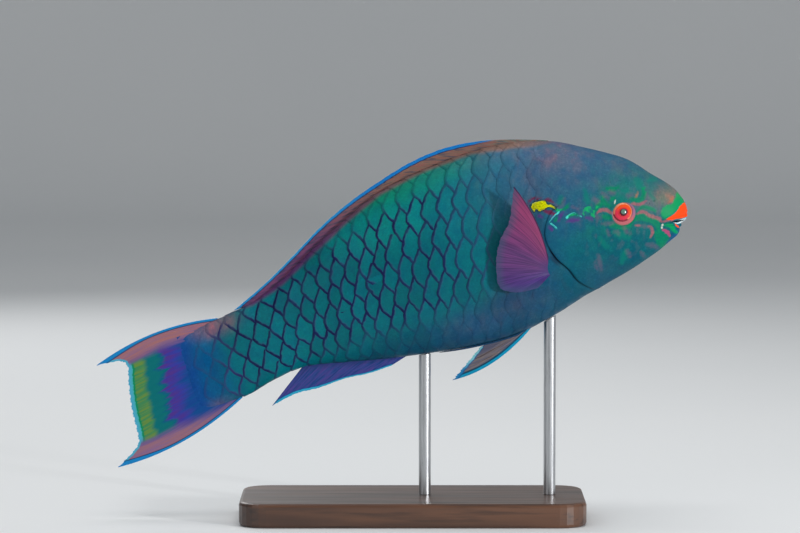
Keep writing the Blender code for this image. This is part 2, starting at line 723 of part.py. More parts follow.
def make_stand(wood, steel, body):
    """A flat base with two rods, whose tops follow the belly."""
    length, width, thick = 200.0, 92.0, 14.0
    middle_x = 12.0
    edit = bmesh.new()
    bmesh.ops.create_cube(edit, size=1)
    bmesh.ops.scale(edit, verts=edit.verts, vec=Vector((length, width, thick)) / 1000)
    bmesh.ops.translate(edit, verts=edit.verts, vec=Vector((middle_x, 0, thick / 2)) / 1000)
    upright = [e for e in edit.edges if abs(e.verts[0].co.z - e.verts[1].co.z) > 1e-4]
    bmesh.ops.bevel(edit, geom=upright, offset=0.016, segments=6, affect="EDGES", profile=0.5)
    mesh = bpy.data.meshes.new("stand_base")
    edit.to_mesh(mesh)
    edit.free()
    mesh.materials.append(wood)
    base = bpy.data.objects.new("stand_base", mesh)
    bpy.context.scene.collection.objects.link(base)
    soften = base.modifiers.new("edge", "BEVEL")
    soften.width, soften.segments, soften.limit_method = 0.002, 2, "ANGLE"
    soften.angle_limit = math.radians(60)

    radius, sides = 3.5, 20
    for name, u in (("stand_rod_front", 92.0), ("stand_rod_rear", 168.0)):
        at = place(u, 0, -30)
        edit = bmesh.new()
        bmesh.ops.create_cone(edit, cap_ends=True, segments=sides, radius1=radius / 1000,
                              radius2=radius / 1000, depth=0.1)
        bmesh.ops.translate(edit, verts=edit.verts, vec=(at.x, 0, 0.05))
        for vert in edit.verts:
            if vert.co.z < 0.05:
                vert.co.z = (thick + GAP) / 1000
                continue
            hit = body.ray_cast(Vector((vert.co.x, vert.co.y, 0)), Vector((0, 0, 1)))[0]
            vert.co.z = hit.z - GAP / 1000
        mesh = bpy.data.meshes.new(name)
        edit.to_mesh(mesh)
        edit.free()
        mesh.materials.append(steel)
        mesh.shade_smooth()
        mesh.set_sharp_from_angle(angle=math.radians(40))
        rod = bpy.data.objects.new(name, mesh)
        bpy.context.scene.collection.objects.link(rod)


def main():
    clear_scene()
    teal = material("scaled_skin", (0.0, 0.16, 0.15))
    slate = material("head_skin", (0.02, 0.12, 0.2))
    iris = material("eye", (0.8, 0.08, 0.02), 0.1)
    enamel = material("beak", (0.6, 0.75, 0.8), 0.2)
    brown = material("dorsal_fin", (0.4, 0.16, 0.12))
    violet = material("fin_violet", (0.1, 0.05, 0.28))
    plum = material("fin_plum", (0.22, 0.05, 0.2))
    wood = material("stand_wood", (0.09, 0.045, 0.025), 0.5)
    steel = material("stand_steel", (0.6, 0.6, 0.6), 0.3, 1.0)

    make_head(slate)
    trunk = scaled_length("trunk", trunk_start, PEDUNCLE_START, teal)
    scaled_length("peduncle", PEDUNCLE_START + GAP / SLICE_LENGTH, BODY_END, teal)
    for side, name in ((RIGHT, "gill_cover_right"), (LEFT, "gill_cover_left")):
        make_gill_cover(side, name, slate)
    make_eyes(iris)
    make_beak(enamel)
    make_dorsal_fin(brown)
    make_anal_fin(violet)
    make_caudal_fin(violet)
    make_pectoral_fin(RIGHT, "pectoral_fin_right", plum)
    make_pectoral_fin(LEFT, "pectoral_fin_left", plum)
    make_lowered_pelvic_fin(LEFT, "pelvic_fin_left", brown)
    make_folded_pelvic_fin(RIGHT, "pelvic_fin_right", brown)
    bpy.context.view_layer.update()
    belly = bvhtree.BVHTree.FromObject(trunk, bpy.context.evaluated_depsgraph_get())
    make_stand(wood, steel, belly)


main()
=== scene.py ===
"""Looks for the still dusky parrotfish: one skin, overlapping scales, ribbed fins, eyes, beak and stand.

The fish is drawn in the CAD's own axes, in millimetres: u runs from the mouth to the tail, y to the
fish's left and v up across the body. place() turns that into world metres.
"""
import math

import bmesh
import bpy
import numpy as np
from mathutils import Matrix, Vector, noise


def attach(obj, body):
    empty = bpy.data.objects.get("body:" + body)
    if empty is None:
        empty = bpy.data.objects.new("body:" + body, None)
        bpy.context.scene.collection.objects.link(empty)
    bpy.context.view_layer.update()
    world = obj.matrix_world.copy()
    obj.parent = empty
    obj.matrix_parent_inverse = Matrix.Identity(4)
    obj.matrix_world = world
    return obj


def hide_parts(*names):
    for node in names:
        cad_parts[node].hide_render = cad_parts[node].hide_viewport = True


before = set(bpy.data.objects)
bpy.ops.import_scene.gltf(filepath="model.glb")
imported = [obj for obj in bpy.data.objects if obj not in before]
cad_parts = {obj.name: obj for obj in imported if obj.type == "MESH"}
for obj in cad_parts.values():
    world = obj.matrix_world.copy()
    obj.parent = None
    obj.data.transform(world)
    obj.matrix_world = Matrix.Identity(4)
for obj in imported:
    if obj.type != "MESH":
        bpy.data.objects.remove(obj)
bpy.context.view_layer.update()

# The CAD's driving dimensions, in millimetres and degrees
PITCH = math.radians(17.3)
MOUTH_X, MOUTH_Z = 170.6, 176.0
RIGHT, LEFT = -1, 1

# Slices across the body: top point (u, v), bottom point (u, v), half width
BODY_SLICES = np.array([
    (-2.0, 4.0, 0.6, -2.0, 2.6),
    (-1.8, 7.4, 3.6, -4.8, 5.6),
    (-0.4, 12.6, 7.6, -8.4, 8.2),
    (3.2, 19.7, 13.0, -10.8, 10.6),
    (13.0, 30.9, 22.0, -14.4, 14.0),
    (23.8, 42.8, 37.0, -19.2, 17.8),
    (42.0, 54.4, 53.0, -23.0, 21.4),
    (62.0, 65.2, 70.0, -27.0, 24.2),
    (85.0, 71.6, 90.0, -32.4, 25.2),
    (110.0, 73.2, 115.0, -36.6, 25.2),
    (139.0, 71.4, 140.0, -35.6, 24.0),
    (166.0, 66.6, 165.0, -32.0, 22.0),
    (191.0, 56.8, 190.0, -27.6, 19.2),
    (215.0, 45.4, 215.0, -22.0, 15.8),
    (236.0, 34.6, 236.0, -17.8, 12.4),
    (255.0, 27.4, 255.0, -19.4, 9.2),
    (272.0, 25.0, 272.0, -23.4, 6.2),
    (284.0, 23.6, 284.0, -24.4, 4.0),
    (296.0, 22.0, 296.0, -24.6, 2.0),
    (306.0, 20.6, 306.0, -24.6, 0.3),
])
SLICE_LENGTH = 19.0
WIDEST_SHARE, FLANK_POWER, RIDGE_POWER = 0.47, 0.86, 0.22
BODY_END, SKIN_END, SNOUT_CAP = 16.35, 18.9, 1.0

GILL_EDGE = [(6.42, -86), (6.77, -64), (7.1, -47), (7.31, -32), (7.57, -20), (7.73, -7), (7.7, 2),
             (7.46, 11), (6.98, 19), (6.8, 32), (6.9, 90)]
# How dark the painted shade in the slit behind the gill cover's edge is, by degrees round the flank
GILL_SHADE = [(-75, 0.25), (-58, 0.5), (-30, 0.65), (-21, 0.95), (-14, 0.95), (-10, 0.35),
            (0, 0.4), (6, 0.1), (12, 0)]
GILL_MEAN = 7.2
COVER_RISE, COVER_LENGTH, GROOVE = 1.0, 26.0, 0.55
COVER_TOP, COVER_THROAT = (13, 22), (-88, -70)

EYE_AT = (35.1, 14.7)
EYE_RADIUS, EYE_SUNK = 7.2, 4.6
IRIS_RADIUS, LID_RADIUS, LID_RISE, ORBIT_RADIUS = 5.6, 6.5, 0.55, 9.0
IRIS_SQUASH, IRIS_TURN = 0.87, math.radians(28)

UPPER_MARGIN = [(-6.0, 0.3), (0.5, -0.2), (3.0, 0.0), (7.0, 0.3), (9.5, 0.65), (14.2, 1.15)]
LOWER_MARGIN = [(-6.0, -3.3), (2.8, -3.2), (5.0, -2.8), (6.5, -2.2), (7.7, -1.1), (9.0, -0.2), (14.2, 0.95)]
UPPER_BITE = [(-6.0, -2.0), (0.8, -1.9), (2.0, -1.2), (3.2, -0.6), (5.0, -0.2), (8.0, 0.3), (12.0, 0.8)]
LOWER_BITE = [(-6.0, -1.9), (2.2, -1.75), (3.4, -1.55), (5.2, -1.4), (6.6, -1.2), (7.6, -0.6), (12.0, 0.6)]
LIP_RISE, LIP_WIDTH, MOUTH_DEPTH = 0.5, 2.0, 3.0
# How far the front of the face draws back to a round muzzle, by height
MUZZLE_BACK = [(-11, 0), (-7.1, 0.9), (-5.3, 1.6), (-4, 2.2), (-2.5, 2.3), (-1.7, 1.2), (-0.8, 0.8), (0.6, 1.4),
               (2.3, 0.8), (4, 0.3), (5.5, 0.1), (10, 0)]
MUZZLE_REACH = (11, 2)
NOSTRILS = [(15.6, 15.2), (18.6, 14.6)]
NOSTRIL_RADIUS = 0.6

SKIN_LEVEL_HEAD, SKIN_LEVEL_TRUNK = -0.05, -0.45


def spline(rows, t):
    """The smooth value at each t of a table of rows, where t = i gives row i."""
    rows, t = np.asarray(rows, float), np.asarray(t, float)
    last = len(rows) - 1
    i = np.clip(np.floor(t).astype(int), 0, last - 1)
    f = (t - i)[..., None]
    a, b, c, d = rows[np.maximum(i - 1, 0)], rows[i], rows[i + 1], rows[np.minimum(i + 2, last)]
    return 0.5 * (2 * b + (c - a) * f + (2 * a - 5 * b + 4 * c - d) * f ** 2
                  + (3 * b - a - 3 * c + d) * f ** 3)


def ramp(x, start, end):
    """Rises smoothly from 0 at start to 1 at end."""
    f = np.clip((np.asarray(x, float) - start) / (end - start), 0, 1)
    return f * f * (3 - 2 * f)


def table(x, pairs):
    return np.interp(x, *zip(*pairs))


def place(points):
    """Points in the fish's own axes, in millimetres, as world points in metres."""
    points = np.asarray(points, float)
    u, y, v = points[..., 0], points[..., 1], points[..., 2]
    x = MOUTH_X - u * math.cos(PITCH) - v * math.sin(PITCH)
    z = MOUTH_Z - u * math.sin(PITCH) + v * math.cos(PITCH)
    return np.stack((x, y, z), -1) / 1000


# The photograph's view: what it looks at in (x, z), from how far and how steeply down
VIEW_X, VIEW_Z, VIEW_DISTANCE, VIEW_DOWN = 4.7, 147.0, 2400.0, math.radians(4)


def seen(points):
    """Where points of the near flank lie in the fish's middle plane as the photograph shows them, in (u, v)."""
    world = place(points) * 1000
    near = np.abs(world[..., 1])
    scale = VIEW_DISTANCE / (VIEW_DISTANCE - near * math.cos(VIEW_DOWN))
    x = MOUTH_X - VIEW_X - (world[..., 0] - VIEW_X) * scale
    z = MOUTH_Z - VIEW_Z - (world[..., 2] - VIEW_Z - near * math.tan(VIEW_DOWN)) * scale
    return np.stack((x * math.cos(PITCH) + z * math.sin(PITCH), x * math.sin(PITCH) - z * math.cos(PITCH)), -1)


def body(t, angle):
    """Points of the body at slices t. The angle is 0 at the flank's widest line and 90 degrees at the back."""
    t, angle = np.broadcast_arrays(np.asarray(t, float), np.asarray(angle, float))
    row = spline(BODY_SLICES, np.maximum(t, 0))
    top, low, half = row[..., 0:2], row[..., 2:4], row[..., 4]
    rise = np.sin(angle)
    share = WIDEST_SHARE + rise * np.where(rise > 0, 1 - WIDEST_SHARE, WIDEST_SHARE)
    power = FLANK_POWER + RIDGE_POWER * np.maximum(rise, 0)
    y = half * np.sign(np.cos(angle)) * np.abs(np.cos(angle)) ** power
    at = low + (top - low) * share[..., None]
    closed = np.clip(-t, 0, 1)
    round_off = np.sqrt(1 - closed ** 2)
    middle = low + (top - low) * WIDEST_SHARE
    forward = np.stack((low[..., 1] - top[..., 1], top[..., 0] - low[..., 0]), -1)
    forward /= np.linalg.norm(forward, axis=-1)[..., None]
    at = middle + (at - middle) * round_off[..., None] + forward * (SNOUT_CAP * closed)[..., None]
    return np.stack((at[..., 0], y * round_off, at[..., 1]), -1)


def muzzle(points):
    """Points of the body with the front of the face drawn back."""
    back = table(points[..., 2], MUZZLE_BACK) * ramp(points[..., 0], *MUZZLE_REACH)
    return points + back[..., None] * (1, 0, 0)


def body_out(t, angle, out):
    """Points that stand out from the body by out millimetres, and the outward directions there."""
    step = 0.02
    here = body(t, angle)
    along = body(np.asarray(t) + step, angle) - body(np.maximum(np.asarray(t) - step, -0.99), angle)
    round_it = body(t, np.asarray(angle) + step) - body(t, np.asarray(angle) - step)
    way = np.cross(along, round_it)
    way /= np.maximum(np.linalg.norm(way, axis=-1), 1e-9)[..., None]
    middle = (body(t, math.pi / 2) + body(t, -math.pi / 2)) / 2
    way *= np.where((way * (here - middle)).sum(-1) < 0, -1, 1)[..., None]
    return here + way * np.asarray(out, float)[..., None], way


class Flank:
    """The flank unrolled: s is the distance along its midline, and w the distance round from it."""

    def __init__(self):
        self.slices = np.linspace(0, SKIN_END, 253)
        self.angles = np.radians(np.linspace(-90, 90, 121))
        self.s = self.lengths(body(self.slices, 0.0))
        grid = body(self.slices[:, None], self.angles[None])
        steps = np.linalg.norm(np.diff(grid, axis=1), axis=-1)
        around = np.concatenate((np.zeros((len(grid), 1)), np.cumsum(steps, axis=1)), axis=1)
        self.w = around - around[:, len(self.angles) // 2][:, None]

    @staticmethod
    def lengths(points):
        return np.concatenate(((0,), np.cumsum(np.linalg.norm(np.diff(points, axis=0), axis=1))))

    def look_up(self, t, angle):
        row = np.clip(t / SKIN_END * (len(self.slices) - 1), 0, len(self.slices) - 1.001)
        column = np.clip((angle + math.pi / 2) / math.pi * (len(self.angles) - 1), 0, len(self.angles) - 1.001)
        i, j = row.astype(int), column.astype(int)
        f, g = row - i, column - j
        near = self.w[i, j] * (1 - g) + self.w[i, j + 1] * g
        far = self.w[i + 1, j] * (1 - g) + self.w[i + 1, j + 1] * g
        return near * (1 - f) + far * f

    def unrolled(self, t, angle):
        return np.interp(t, self.slices, self.s), self.look_up(np.maximum(t, 0), angle)

    def rolled(self, s, w):
        """The slices and angles of points given by their distances."""
        t = np.interp(s, self.s, self.slices)
        low, high = np.full(t.shape, -math.pi / 2), np.full(t.shape, math.pi / 2)
        for _ in range(18):
            middle = (low + high) / 2
            below = self.look_up(t, middle) < w
            low, high = np.where(below, middle, low), np.where(below, high, middle)
        return t, (low + high) / 2

    def at(self, u, v):
        """The slice and angle of the point of the flank that lies at u, v as seen from the side."""
        grid = body(self.slices[:, None], self.angles[None])
        miss = (grid[..., 0] - u) ** 2 + (grid[..., 2] - v) ** 2
        i, j = np.unravel_index(miss.argmin(), miss.shape)
        t, angle, step = self.slices[i], self.angles[j], 0.01
        for _ in range(8):
            here = body(t, angle)
            by_t = (body(t + step, angle) - here) / step
            by_angle = (body(t, angle + step) - here) / step
            matrix = np.array(((by_t[0], by_angle[0]), (by_t[2], by_angle[2])))
            change = np.linalg.solve(matrix, (u - here[0], v - here[2]))
            t, angle = t + change[0], angle + change[1]
        return t, angle


FLANK = Flank()


def gill_slice(angle):
    """The slice of the gill cover's rear edge, at an angle round the flank."""
    line = spline(GILL_EDGE, np.linspace(0, len(GILL_EDGE) - 1, 200))
    return np.interp(np.degrees(angle), line[:, 1], line[:, 0])


# Markings, each as strokes with a half width in millimetres and closed areas, in (u, v) as the photo shows them
STROKES = {
    "green": [
        (1.66, [(49.3, 19.4), (47.8, 20.4), (45.6, 21.6), (43.5, 23.3), (43.0, 25.0)]),
        (1.66, [(43.1, 23.5), (42.4, 21.0), (40.7, 19.0)]),
        (1.35, [(39.2, 21.5), (38.0, 22.7), (36.2, 22.5)]),
        (1.96, [(38.9, 29.2), (35.7, 27.7), (32.7, 28.0)]),
        (1.81, [(45.8, 14.8), (44.4, 13.5), (42.9, 12.4)]),
        (1.81, [(43.5, 7.7), (40.6, 7.2), (37.3, 5.4), (33.8, 4.7), (30.9, 6.4)]),
        (2.18, [(30.6, 6.5), (28.4, 7.9), (25.9, 7.9), (22.5, 7.0), (20.3, 5.1), (18.2, 2.5), (17.5, -0.2),
                (17.8, -2.5)]),
        (1.43, [(27.6, 19.5), (25.9, 18.4), (24.1, 17.6), (21.6, 17.3), (20.1, 18.6), (19.3, 20.6),
               (19.2, 22.8)]),
        (1.29, [(24.6, 11.7), (22.8, 12.6), (20.6, 11.9), (18.2, 10.4), (16.1, 8.3)]),
        (1.43, [(13.1, -1.0), (11.0, -2.1), (9.8, -3.3), (9.1, -5.3), (7.9, -7.0)]),
        (1.13, [(68.0, 25.1), (65.4, 25.3), (63.2, 26.7), (62.5, 27.1)]),
        (1.13, [(71.8, 21.9), (73.4, 20.2)]),
        (0.91, [(66.2, 20.0), (64.7, 20.6), (62.8, 20.8), (60.9, 20.3), (59.1, 19.0)]),
    ],
    "sea": [
        (1.81, [(51.6, 31.5), (51.9, 29.3), (52.0, 26.6), (51.9, 24.4)]),
        (1.74, [(66.1, 31.5), (67.5, 28.9)]),
        (1.47, [(34.1, 24.3), (34.1, 22.0)]),
        (2.0, [(31.0, 25.4), (27.3, 23.7)]),
        (2.14, [(20.5, 24.6), (20.9, 28.4)]),
        (2.0, [(43.0, 4.3), (37.8, -0.4), (35.4, -2.4)]),
        (2.27, [(51.4, 2.7), (49.5, -2.8)]),
        (1.47, [(54.2, 21.1), (51.5, 17.9)]),
        (2.0, [(14.8, 26.5), (10.6, 26.4)]),
        (2.4, [(40.0, -9.4), (43.4, -14.4)]),
        (1.74, [(16.0, 18.9), (14.8, 14.9)]),
    ],
    "pink": [
        (1.01, [(48.6, 17.5), (47.0, 18.2), (44.8, 18.1), (42.8, 17.1), (41.1, 15.3), (40.4, 14.4)]),
        (1.01, [(26.4, 10.2), (23.6, 10.2), (21.6, 8.7), (19.8, 6.6), (17.8, 5.1), (16.1, 4.2), (15.3, 3.0),
                (14.6, 1.3)]),
        (0.58, [(14.6, 1.3), (13.0, 1.2), (10.6, 1.0), (8.0, 0.1)]),
        (0.88, [(28.1, 16.5), (26.6, 16.2), (24.1, 14.8), (21.2, 15.2), (19.5, 15.5)]),
        (0.94, [(22.6, 0.9), (21.6, 0.1), (21.2, -1.5), (21.8, -3.7), (23.0, -5.2)]),
        (0.94, [(29.6, 3.8), (27.4, 3.2)]),
    ],
    "blush": [
        (1.25, [(42.6, 27.5), (41.3, 25.6), (40.1, 23.4)]),
        (1.39, [(47.7, 25.2), (46.8, 23.4)]),
        (1.32, [(37.6, 26.6), (36.3, 25.8)]),
        (0.84, [(49.0, 17.1), (49.9, 15.0), (50.1, 13.2)]),
        (1.04, [(47.9, 10.6), (45.5, 9.8), (42.6, 9.3), (41.4, 9.3)]),
        (1.19, [(42.0, 3.8), (40.4, 2.9), (40.4, 1.8)]),
        (1.32, [(36.3, 5.2), (35.6, 2.6), (34.0, 0.2)]),
        (1.25, [(28.6, 21.3), (26.4, 21.5)]),
        (0.84, [(19.1, 16.3), (17.8, 19.3)]),
        (1.04, [(27.4, 2.9), (24.4, 1.5), (22.8, 0.8)]),
        (1.6, [(26.3, -8.8), (23.5, -10.5), (21.5, -11.9)]),
        (1.12, [(12.4, 12.4), (13.9, 8.6), (15.4, 6.0)]),
        (0.84, [(70.7, 29.6), (69.5, 27.5), (67.6, 27.1), (65.8, 28.7), (64.2, 31.2)]),
        (1.25, [(60.9, 25.0), (59.1, 23.0)]),
        (1.12, [(49.8, 17.1), (49.5, 14.5)]),
        (1.04, [(55.5, -6.4), (55.8, -10.6), (56.2, -14.7)]),
        (0.84, [(58.3, -9.8), (58.3, -13.4)]),
        (1.25, [(38.5, -8.7), (37.9, -12.5)]),
        (1.39, [(31.1, -12.2), (30.2, -14.9)]),
        (1.25, [(46.2, 5.9), (45.9, 2.8)]),
    ],
    "rose": [
        (1.21, [(14.8, -3.3), (13.7, -4.2), (12.9, -6.3), (12.4, -7.9)]),
    ],
    "maroon": [
        (0.93, [(83.8, 37.1), (81.7, 36.4), (79.3, 35.9), (77.1, 35.7)]),
        (1.17, [(75.4, 34.0), (72.8, 32.6), (71.5, 31.1)]),
        (1.59, [(77.5, 27.6), (74.8, 25.9), (72.6, 24.1)]),
        (0.84, [(83.9, 35.9), (85.3, 33.8)]),
    ],
    "violet": [
        (0.93, [(67.5, 23.6), (69.6, 21.8), (71.3, 19.3)]),
        (1.14, [(67.2, 17.9), (63.8, 17.6), (59.9, 16.8)]),
        (1.0, [(77.4, 17.6), (76.9, 15.9)]),
        (1.2, [(82.6, 26.8), (79.8, 24.7)]),
        (1.26, [(55.4, 16.7), (52.9, 15.1)]),
        (0.93, [(72.9, 23.3), (74.7, 22.4)]),
    ],
    "lime": [
        (0.8, [(71.4, 27.1), (70.3, 25.8), (68.3, 25.3)]),
        (0.53, [(56.3, 18.4), (55.8, 20.7), (54.6, 21.8), (52.3, 21.9), (51.7, 20.3), (50.4, 19.2),
                (50.5, 17.9), (51.2, 16.1)]),
        (0.33, [(54.6, 21.8), (53.6, 20.1), (52.3, 18.2), (51.7, 16.7)]),
        (0.49, [(65.9, 20.2), (64.6, 20.7), (62.8, 20.8), (60.9, 20.3)]),
        (0.47, [(48.7, 20.3), (46.9, 20.6)]),
    ],
    "cyan": [
        (0.49, [(77.0, 20.3), (75.9, 19.3), (74.7, 17.5), (73.7, 15.7)]),
        (0.26, [(69.2, 24.7), (72.1, 23.4), (74.5, 22.2), (76.6, 20.7)]),
        (0.23, [(66.7, 20.0), (64.7, 21.2), (62.2, 21.5), (60.4, 20.7)]),
        (0.32, [(59.8, 19.3), (57.8, 18.3)]),
        (0.46, [(66.5, 20.0), (66.3, 20.0)]),
    ],
    "straw": [
        (0.26, [(84.5, 32.3), (83.1, 33.4), (81.0, 33.8), (78.7, 34.0), (76.0, 33.0), (75.2, 31.6)]),
        (0.26, [(74.9, 30.7), (72.8, 29.9), (71.8, 28.3)]),
        (0.23, [(84.3, 30.6), (83.9, 29.5)]),
        (0.23, [(80.2, 28.4), (79.0, 28.1), (77.7, 29.1)]),
    ],
    "pale": [
        (0.46, [(36.3, 21.5), (37.7, 19.7)]),
        (0.55, [(14.7, -0.4), (14.7, -0.5)]),
        (0.58, [(15.2, -1.8), (15.2, -1.9)]),
    ],
    "lip": [
        (0.49, [(7.5, -1.7), (6.9, -3.3), (5.9, -4.6)]),
    ],
    "bronze": [
        (1.16, [(7.4, 10.8), (5.8, 11.6), (4.2, 13.2)]),
        (0.7, [(24.6, 19.5), (23.1, 21.5)]),
    ],
}
AREAS = {
    "green": [
        [(0.9, 15.3), (-0.9, 12.3), (-1.9, 9.1), (2.1, 6.3), (4.5, 5.0), (7.9, 3.3), (10.7, 2.1), (12.9, 3.0),
         (13.7, 4.7), (13.2, 7.0), (11.4, 8.8), (9.1, 9.8), (6.8, 9.3), (4.4, 10.6), (2.7, 12.6),
         (1.6, 14.7)],
        [(16.6, -1.3), (17.7, -3.4), (19.9, -2.7), (21.3, -5.9), (20.9, -10.1), (19.5, -13.2), (17.0, -13.1),
         (15.1, -10.7), (13.1, -8.9), (13.6, -7.1), (15.3, -4.9), (16.2, -2.7)],
    ],
    "yellow": [
        [(84.5, 33.1), (83.6, 33.5), (81.0, 33.9), (78.6, 34.1), (75.9, 33.2), (75.2, 31.9), (74.9, 30.7),
         (72.8, 30.1), (71.7, 28.5), (71.0, 26.4), (72.4, 27.5), (73.6, 29.1), (75.8, 29.3), (77.7, 28.9),
         (79.3, 27.9), (80.2, 28.1), (80.8, 28.8), (81.7, 29.8), (82.5, 30.6), (83.4, 29.1), (84.0, 30.5),
         (84.4, 31.7)],
    ],
    "lip": [
        [(-1.7, 8.7), (-4.9, 4.1), (-3.8, 0.5), (-0.2, -0.2), (2.0, -0.1), (5.6, 0.3), (7.9, 0.5),
         (10.6, 1.2), (11.5, 2.0), (8.0, 2.9), (4.7, 4.3), (1.6, 6.6)],
    ],
    "blue": [
        [(8.1, -6.6), (10.9, -8.7), (14.2, -10.5), (16.2, -13.2), (13.3, -15.3), (1.2, -11.8), (-0.5, -6.2),
         (5.7, -6.4)],
    ],
}

MARKS = ("blue", "bronze", "sea", "green", "blush", "violet", "maroon", "pink", "rose", "lime", "yellow",
         "straw", "cyan", "pale", "lip")
MARKS_END = 92.0

COLOURS = {
    "green": (0, 124, 88), "pink": (156, 92, 100), "maroon": (104, 30, 66), "lime": (20, 168, 96),
    "cyan": (74, 208, 196), "yellow": (196, 200, 0), "lip": (236, 74, 26), "violet": (84, 44, 120),
    "blue": (0, 74, 128), "pale": (186, 196, 184), "bronze": (166, 104, 78), "rose": (158, 70, 106),
    "blush": (116, 88, 112), "yellow_rim": (18, 44, 34), "sea": (0, 116, 100), "straw": (206, 226, 110),
    # The gill and mouth colours are painted shade: for the slit behind the gill cover, the pocket at the pectoral's
    # base, the crease by the eye, the nostril pits and the inside of the mouth
    "net": (20, 28, 76), "net_pale": (58, 58, 118), "net_edge": (54, 74, 116), "painted_shade": (4, 18, 40),
    "mouth": (10, 14, 26), "lid": (178, 98, 104), "lid_back": (142, 98, 128),
}

# Broad tones of the body: middle (u, v), reach along and across in millimetres, colour
TRUNK_TONE = (0, 96, 106)
TONES = [
    ((30, 60), (62, 36), (62, 88, 119)),
    ((62, 57), (14, 10), (108, 98, 108)),
    ((6, 30), (26, 20), (52, 96, 100)),
    ((9, 16), (9, 6), (150, 118, 92)),
    ((22, 14), (8, 4), (84, 100, 110)),
    ((30, 24), (18, 9), (24, 108, 106)),
    ((42, 18), (11, 8), (8, 104, 96)),
    ((24, 6), (10, 7), (16, 104, 98)),
    ((44, 2), (26, 18), (0, 86, 98)),
    ((57, -16), (10, 9), (40, 82, 104)),
    ((52, -22), (30, 16), (12, 70, 92)),
    ((20, -6), (10, 12), (14, 88, 98)),
    ((4, -14), (12, 8), (6, 72, 120)),
    ((80, 60), (34, 26), (66, 94, 126)),
    ((96, 57), (14, 12), (24, 106, 130)),
    ((142, 60), (18, 12), (4, 122, 118)),
    ((166, 66), (44, 9), (0, 130, 88)),
    ((106, -18), (16, 10), (46, 64, 98)),
    ((66, 20), (14, 14), (30, 82, 116)),
    ((88, 4), (12, 30), (26, 74, 108)),
    ((124, 50), (24, 20), (8, 108, 122)),
    ((150, 70), (46, 12), (0, 120, 96)),
    ((170, 50), (34, 14), (0, 124, 120)),
    ((104, -44), (70, 24), (26, 62, 92)),
    ((132, -26), (26, 10), (44, 76, 112)),
    ((170, -38), (60, 18), (14, 62, 92)),
    ((226, 10), (30, 24), (0, 100, 110)),
    ((252, 6), (20, 30), (0, 112, 124)),
    ((296, 0), (14, 60), (2, 84, 140)),
    ((306, -2), (7, 30), (12, 70, 140)),
    ((286, 21), (17, 6), (146, 100, 112)),
    ((300, -24), (14, 4), (106, 80, 112)),
]
# The skin's last part takes the tail fin's colour, from u to u
TAIL_ROOT_TONE, TAIL_ROOT_REACH = (16, 72, 138), (292, 302)
# The dorsal fin's fleshy base, by u: how far it reaches down from the ridge, and its colour
SHEATH_WIDTH = [(52, -1.4), (60, 0.4), (72, 2.6), (88, 3.6), (106, 1.6), (140, 1.4), (170, 1.8), (205, 2.8),
                (240, 2.8), (256, 1.6), (264, 0.0)]
SHEATH_COLOUR = [(60, (98, 94, 108)), (84, (124, 98, 88)), (150, (112, 90, 88)), (215, (86, 52, 98))]


def srgb(colour):
    """An 8-bit display colour as scene-linear values."""
    c = np.asarray(colour, float) / 255
    return np.where(c <= 0.04045, c / 12.92, ((c + 0.055) / 1.055) ** 2.4)


def stroke_depth(points, path, half_width, taper=0.0):
    """How far points lie inside a stroke, in millimetres, below 0 outside it. Its ends narrow by taper."""
    best, along, done = np.full(points.shape[:-1], np.inf), np.zeros(points.shape[:-1]), 0.0
    for a, b in zip(np.array(path[:-1], float), np.array(path[1:], float)):
        leg = math.hypot(*(b - a))
        share = np.clip(((points - a) @ (b - a)) / leg ** 2, 0, 1)
        far = np.linalg.norm(points - a - share[..., None] * (b - a), axis=-1)
        along = np.where(far < best, done + share * leg, along)
        best = np.minimum(best, far)
        done += leg
    if done > 2 * half_width > 0:
        half_width = half_width * (1 - taper * ramp(np.minimum(along, done - along), 2.5 * half_width, 0))
    return half_width - best


def area_depth(points, outline):
    """How far points lie inside a closed outline, in millimetres, below 0 outside it."""
    edge = -stroke_depth(points, outline + outline[:1], 0.0)
    inside = np.zeros(points.shape[:-1], bool)
    for (au, av), (bu, bv) in zip(outline, outline[1:] + outline[:1]):
        crosses = (av > points[..., 1]) != (bv > points[..., 1])
        at = au + (points[..., 1] - av) * (bu - au) / ((bv - av) or 1e-9)
        inside ^= crosses & (points[..., 0] < at)
    return np.where(inside, edge, -edge)


def smooth_path(path, per_leg=4):
    steps = np.linspace(0, len(path) - 1, (len(path) - 1) * per_leg + 1)
    return [tuple(p) for p in spline(path, steps)]


def mark_depths(points):
    """For each kind of marking, how far the points lie inside it, in millimetres and at least -4."""
    uv = seen(points)
    marked = uv[..., 0] < MARKS_END
    here = uv[marked]
    for size, sway in ((4.0, 0.4), (1.6, 0.25)):
        here = here + sway * np.stack([bumpy(points[marked], size, seed) for seed in (3.0, 11.0)], -1)
    found = {}
    for name in MARKS:
        depth = np.full(len(here), -4.0)
        for half_width, path in STROKES.get(name, []):
            depth = np.maximum(depth, stroke_depth(here, smooth_path(path), half_width, 0.45))
        for outline in AREAS.get(name, []):
            depth = np.maximum(depth, area_depth(here, outline))
        found[name] = np.full(uv.shape[:-1], -4.0)
        found[name][marked] = depth
    return found


def sheath_share(uv):
    """How much of the dorsal fin's fleshy base there is at points of the back."""
    far = -stroke_depth(uv, BODY_SLICES[7:17, :2], 0.0)
    return ramp(table(uv[..., 0], SHEATH_WIDTH) - far, -1.3, 1.3)


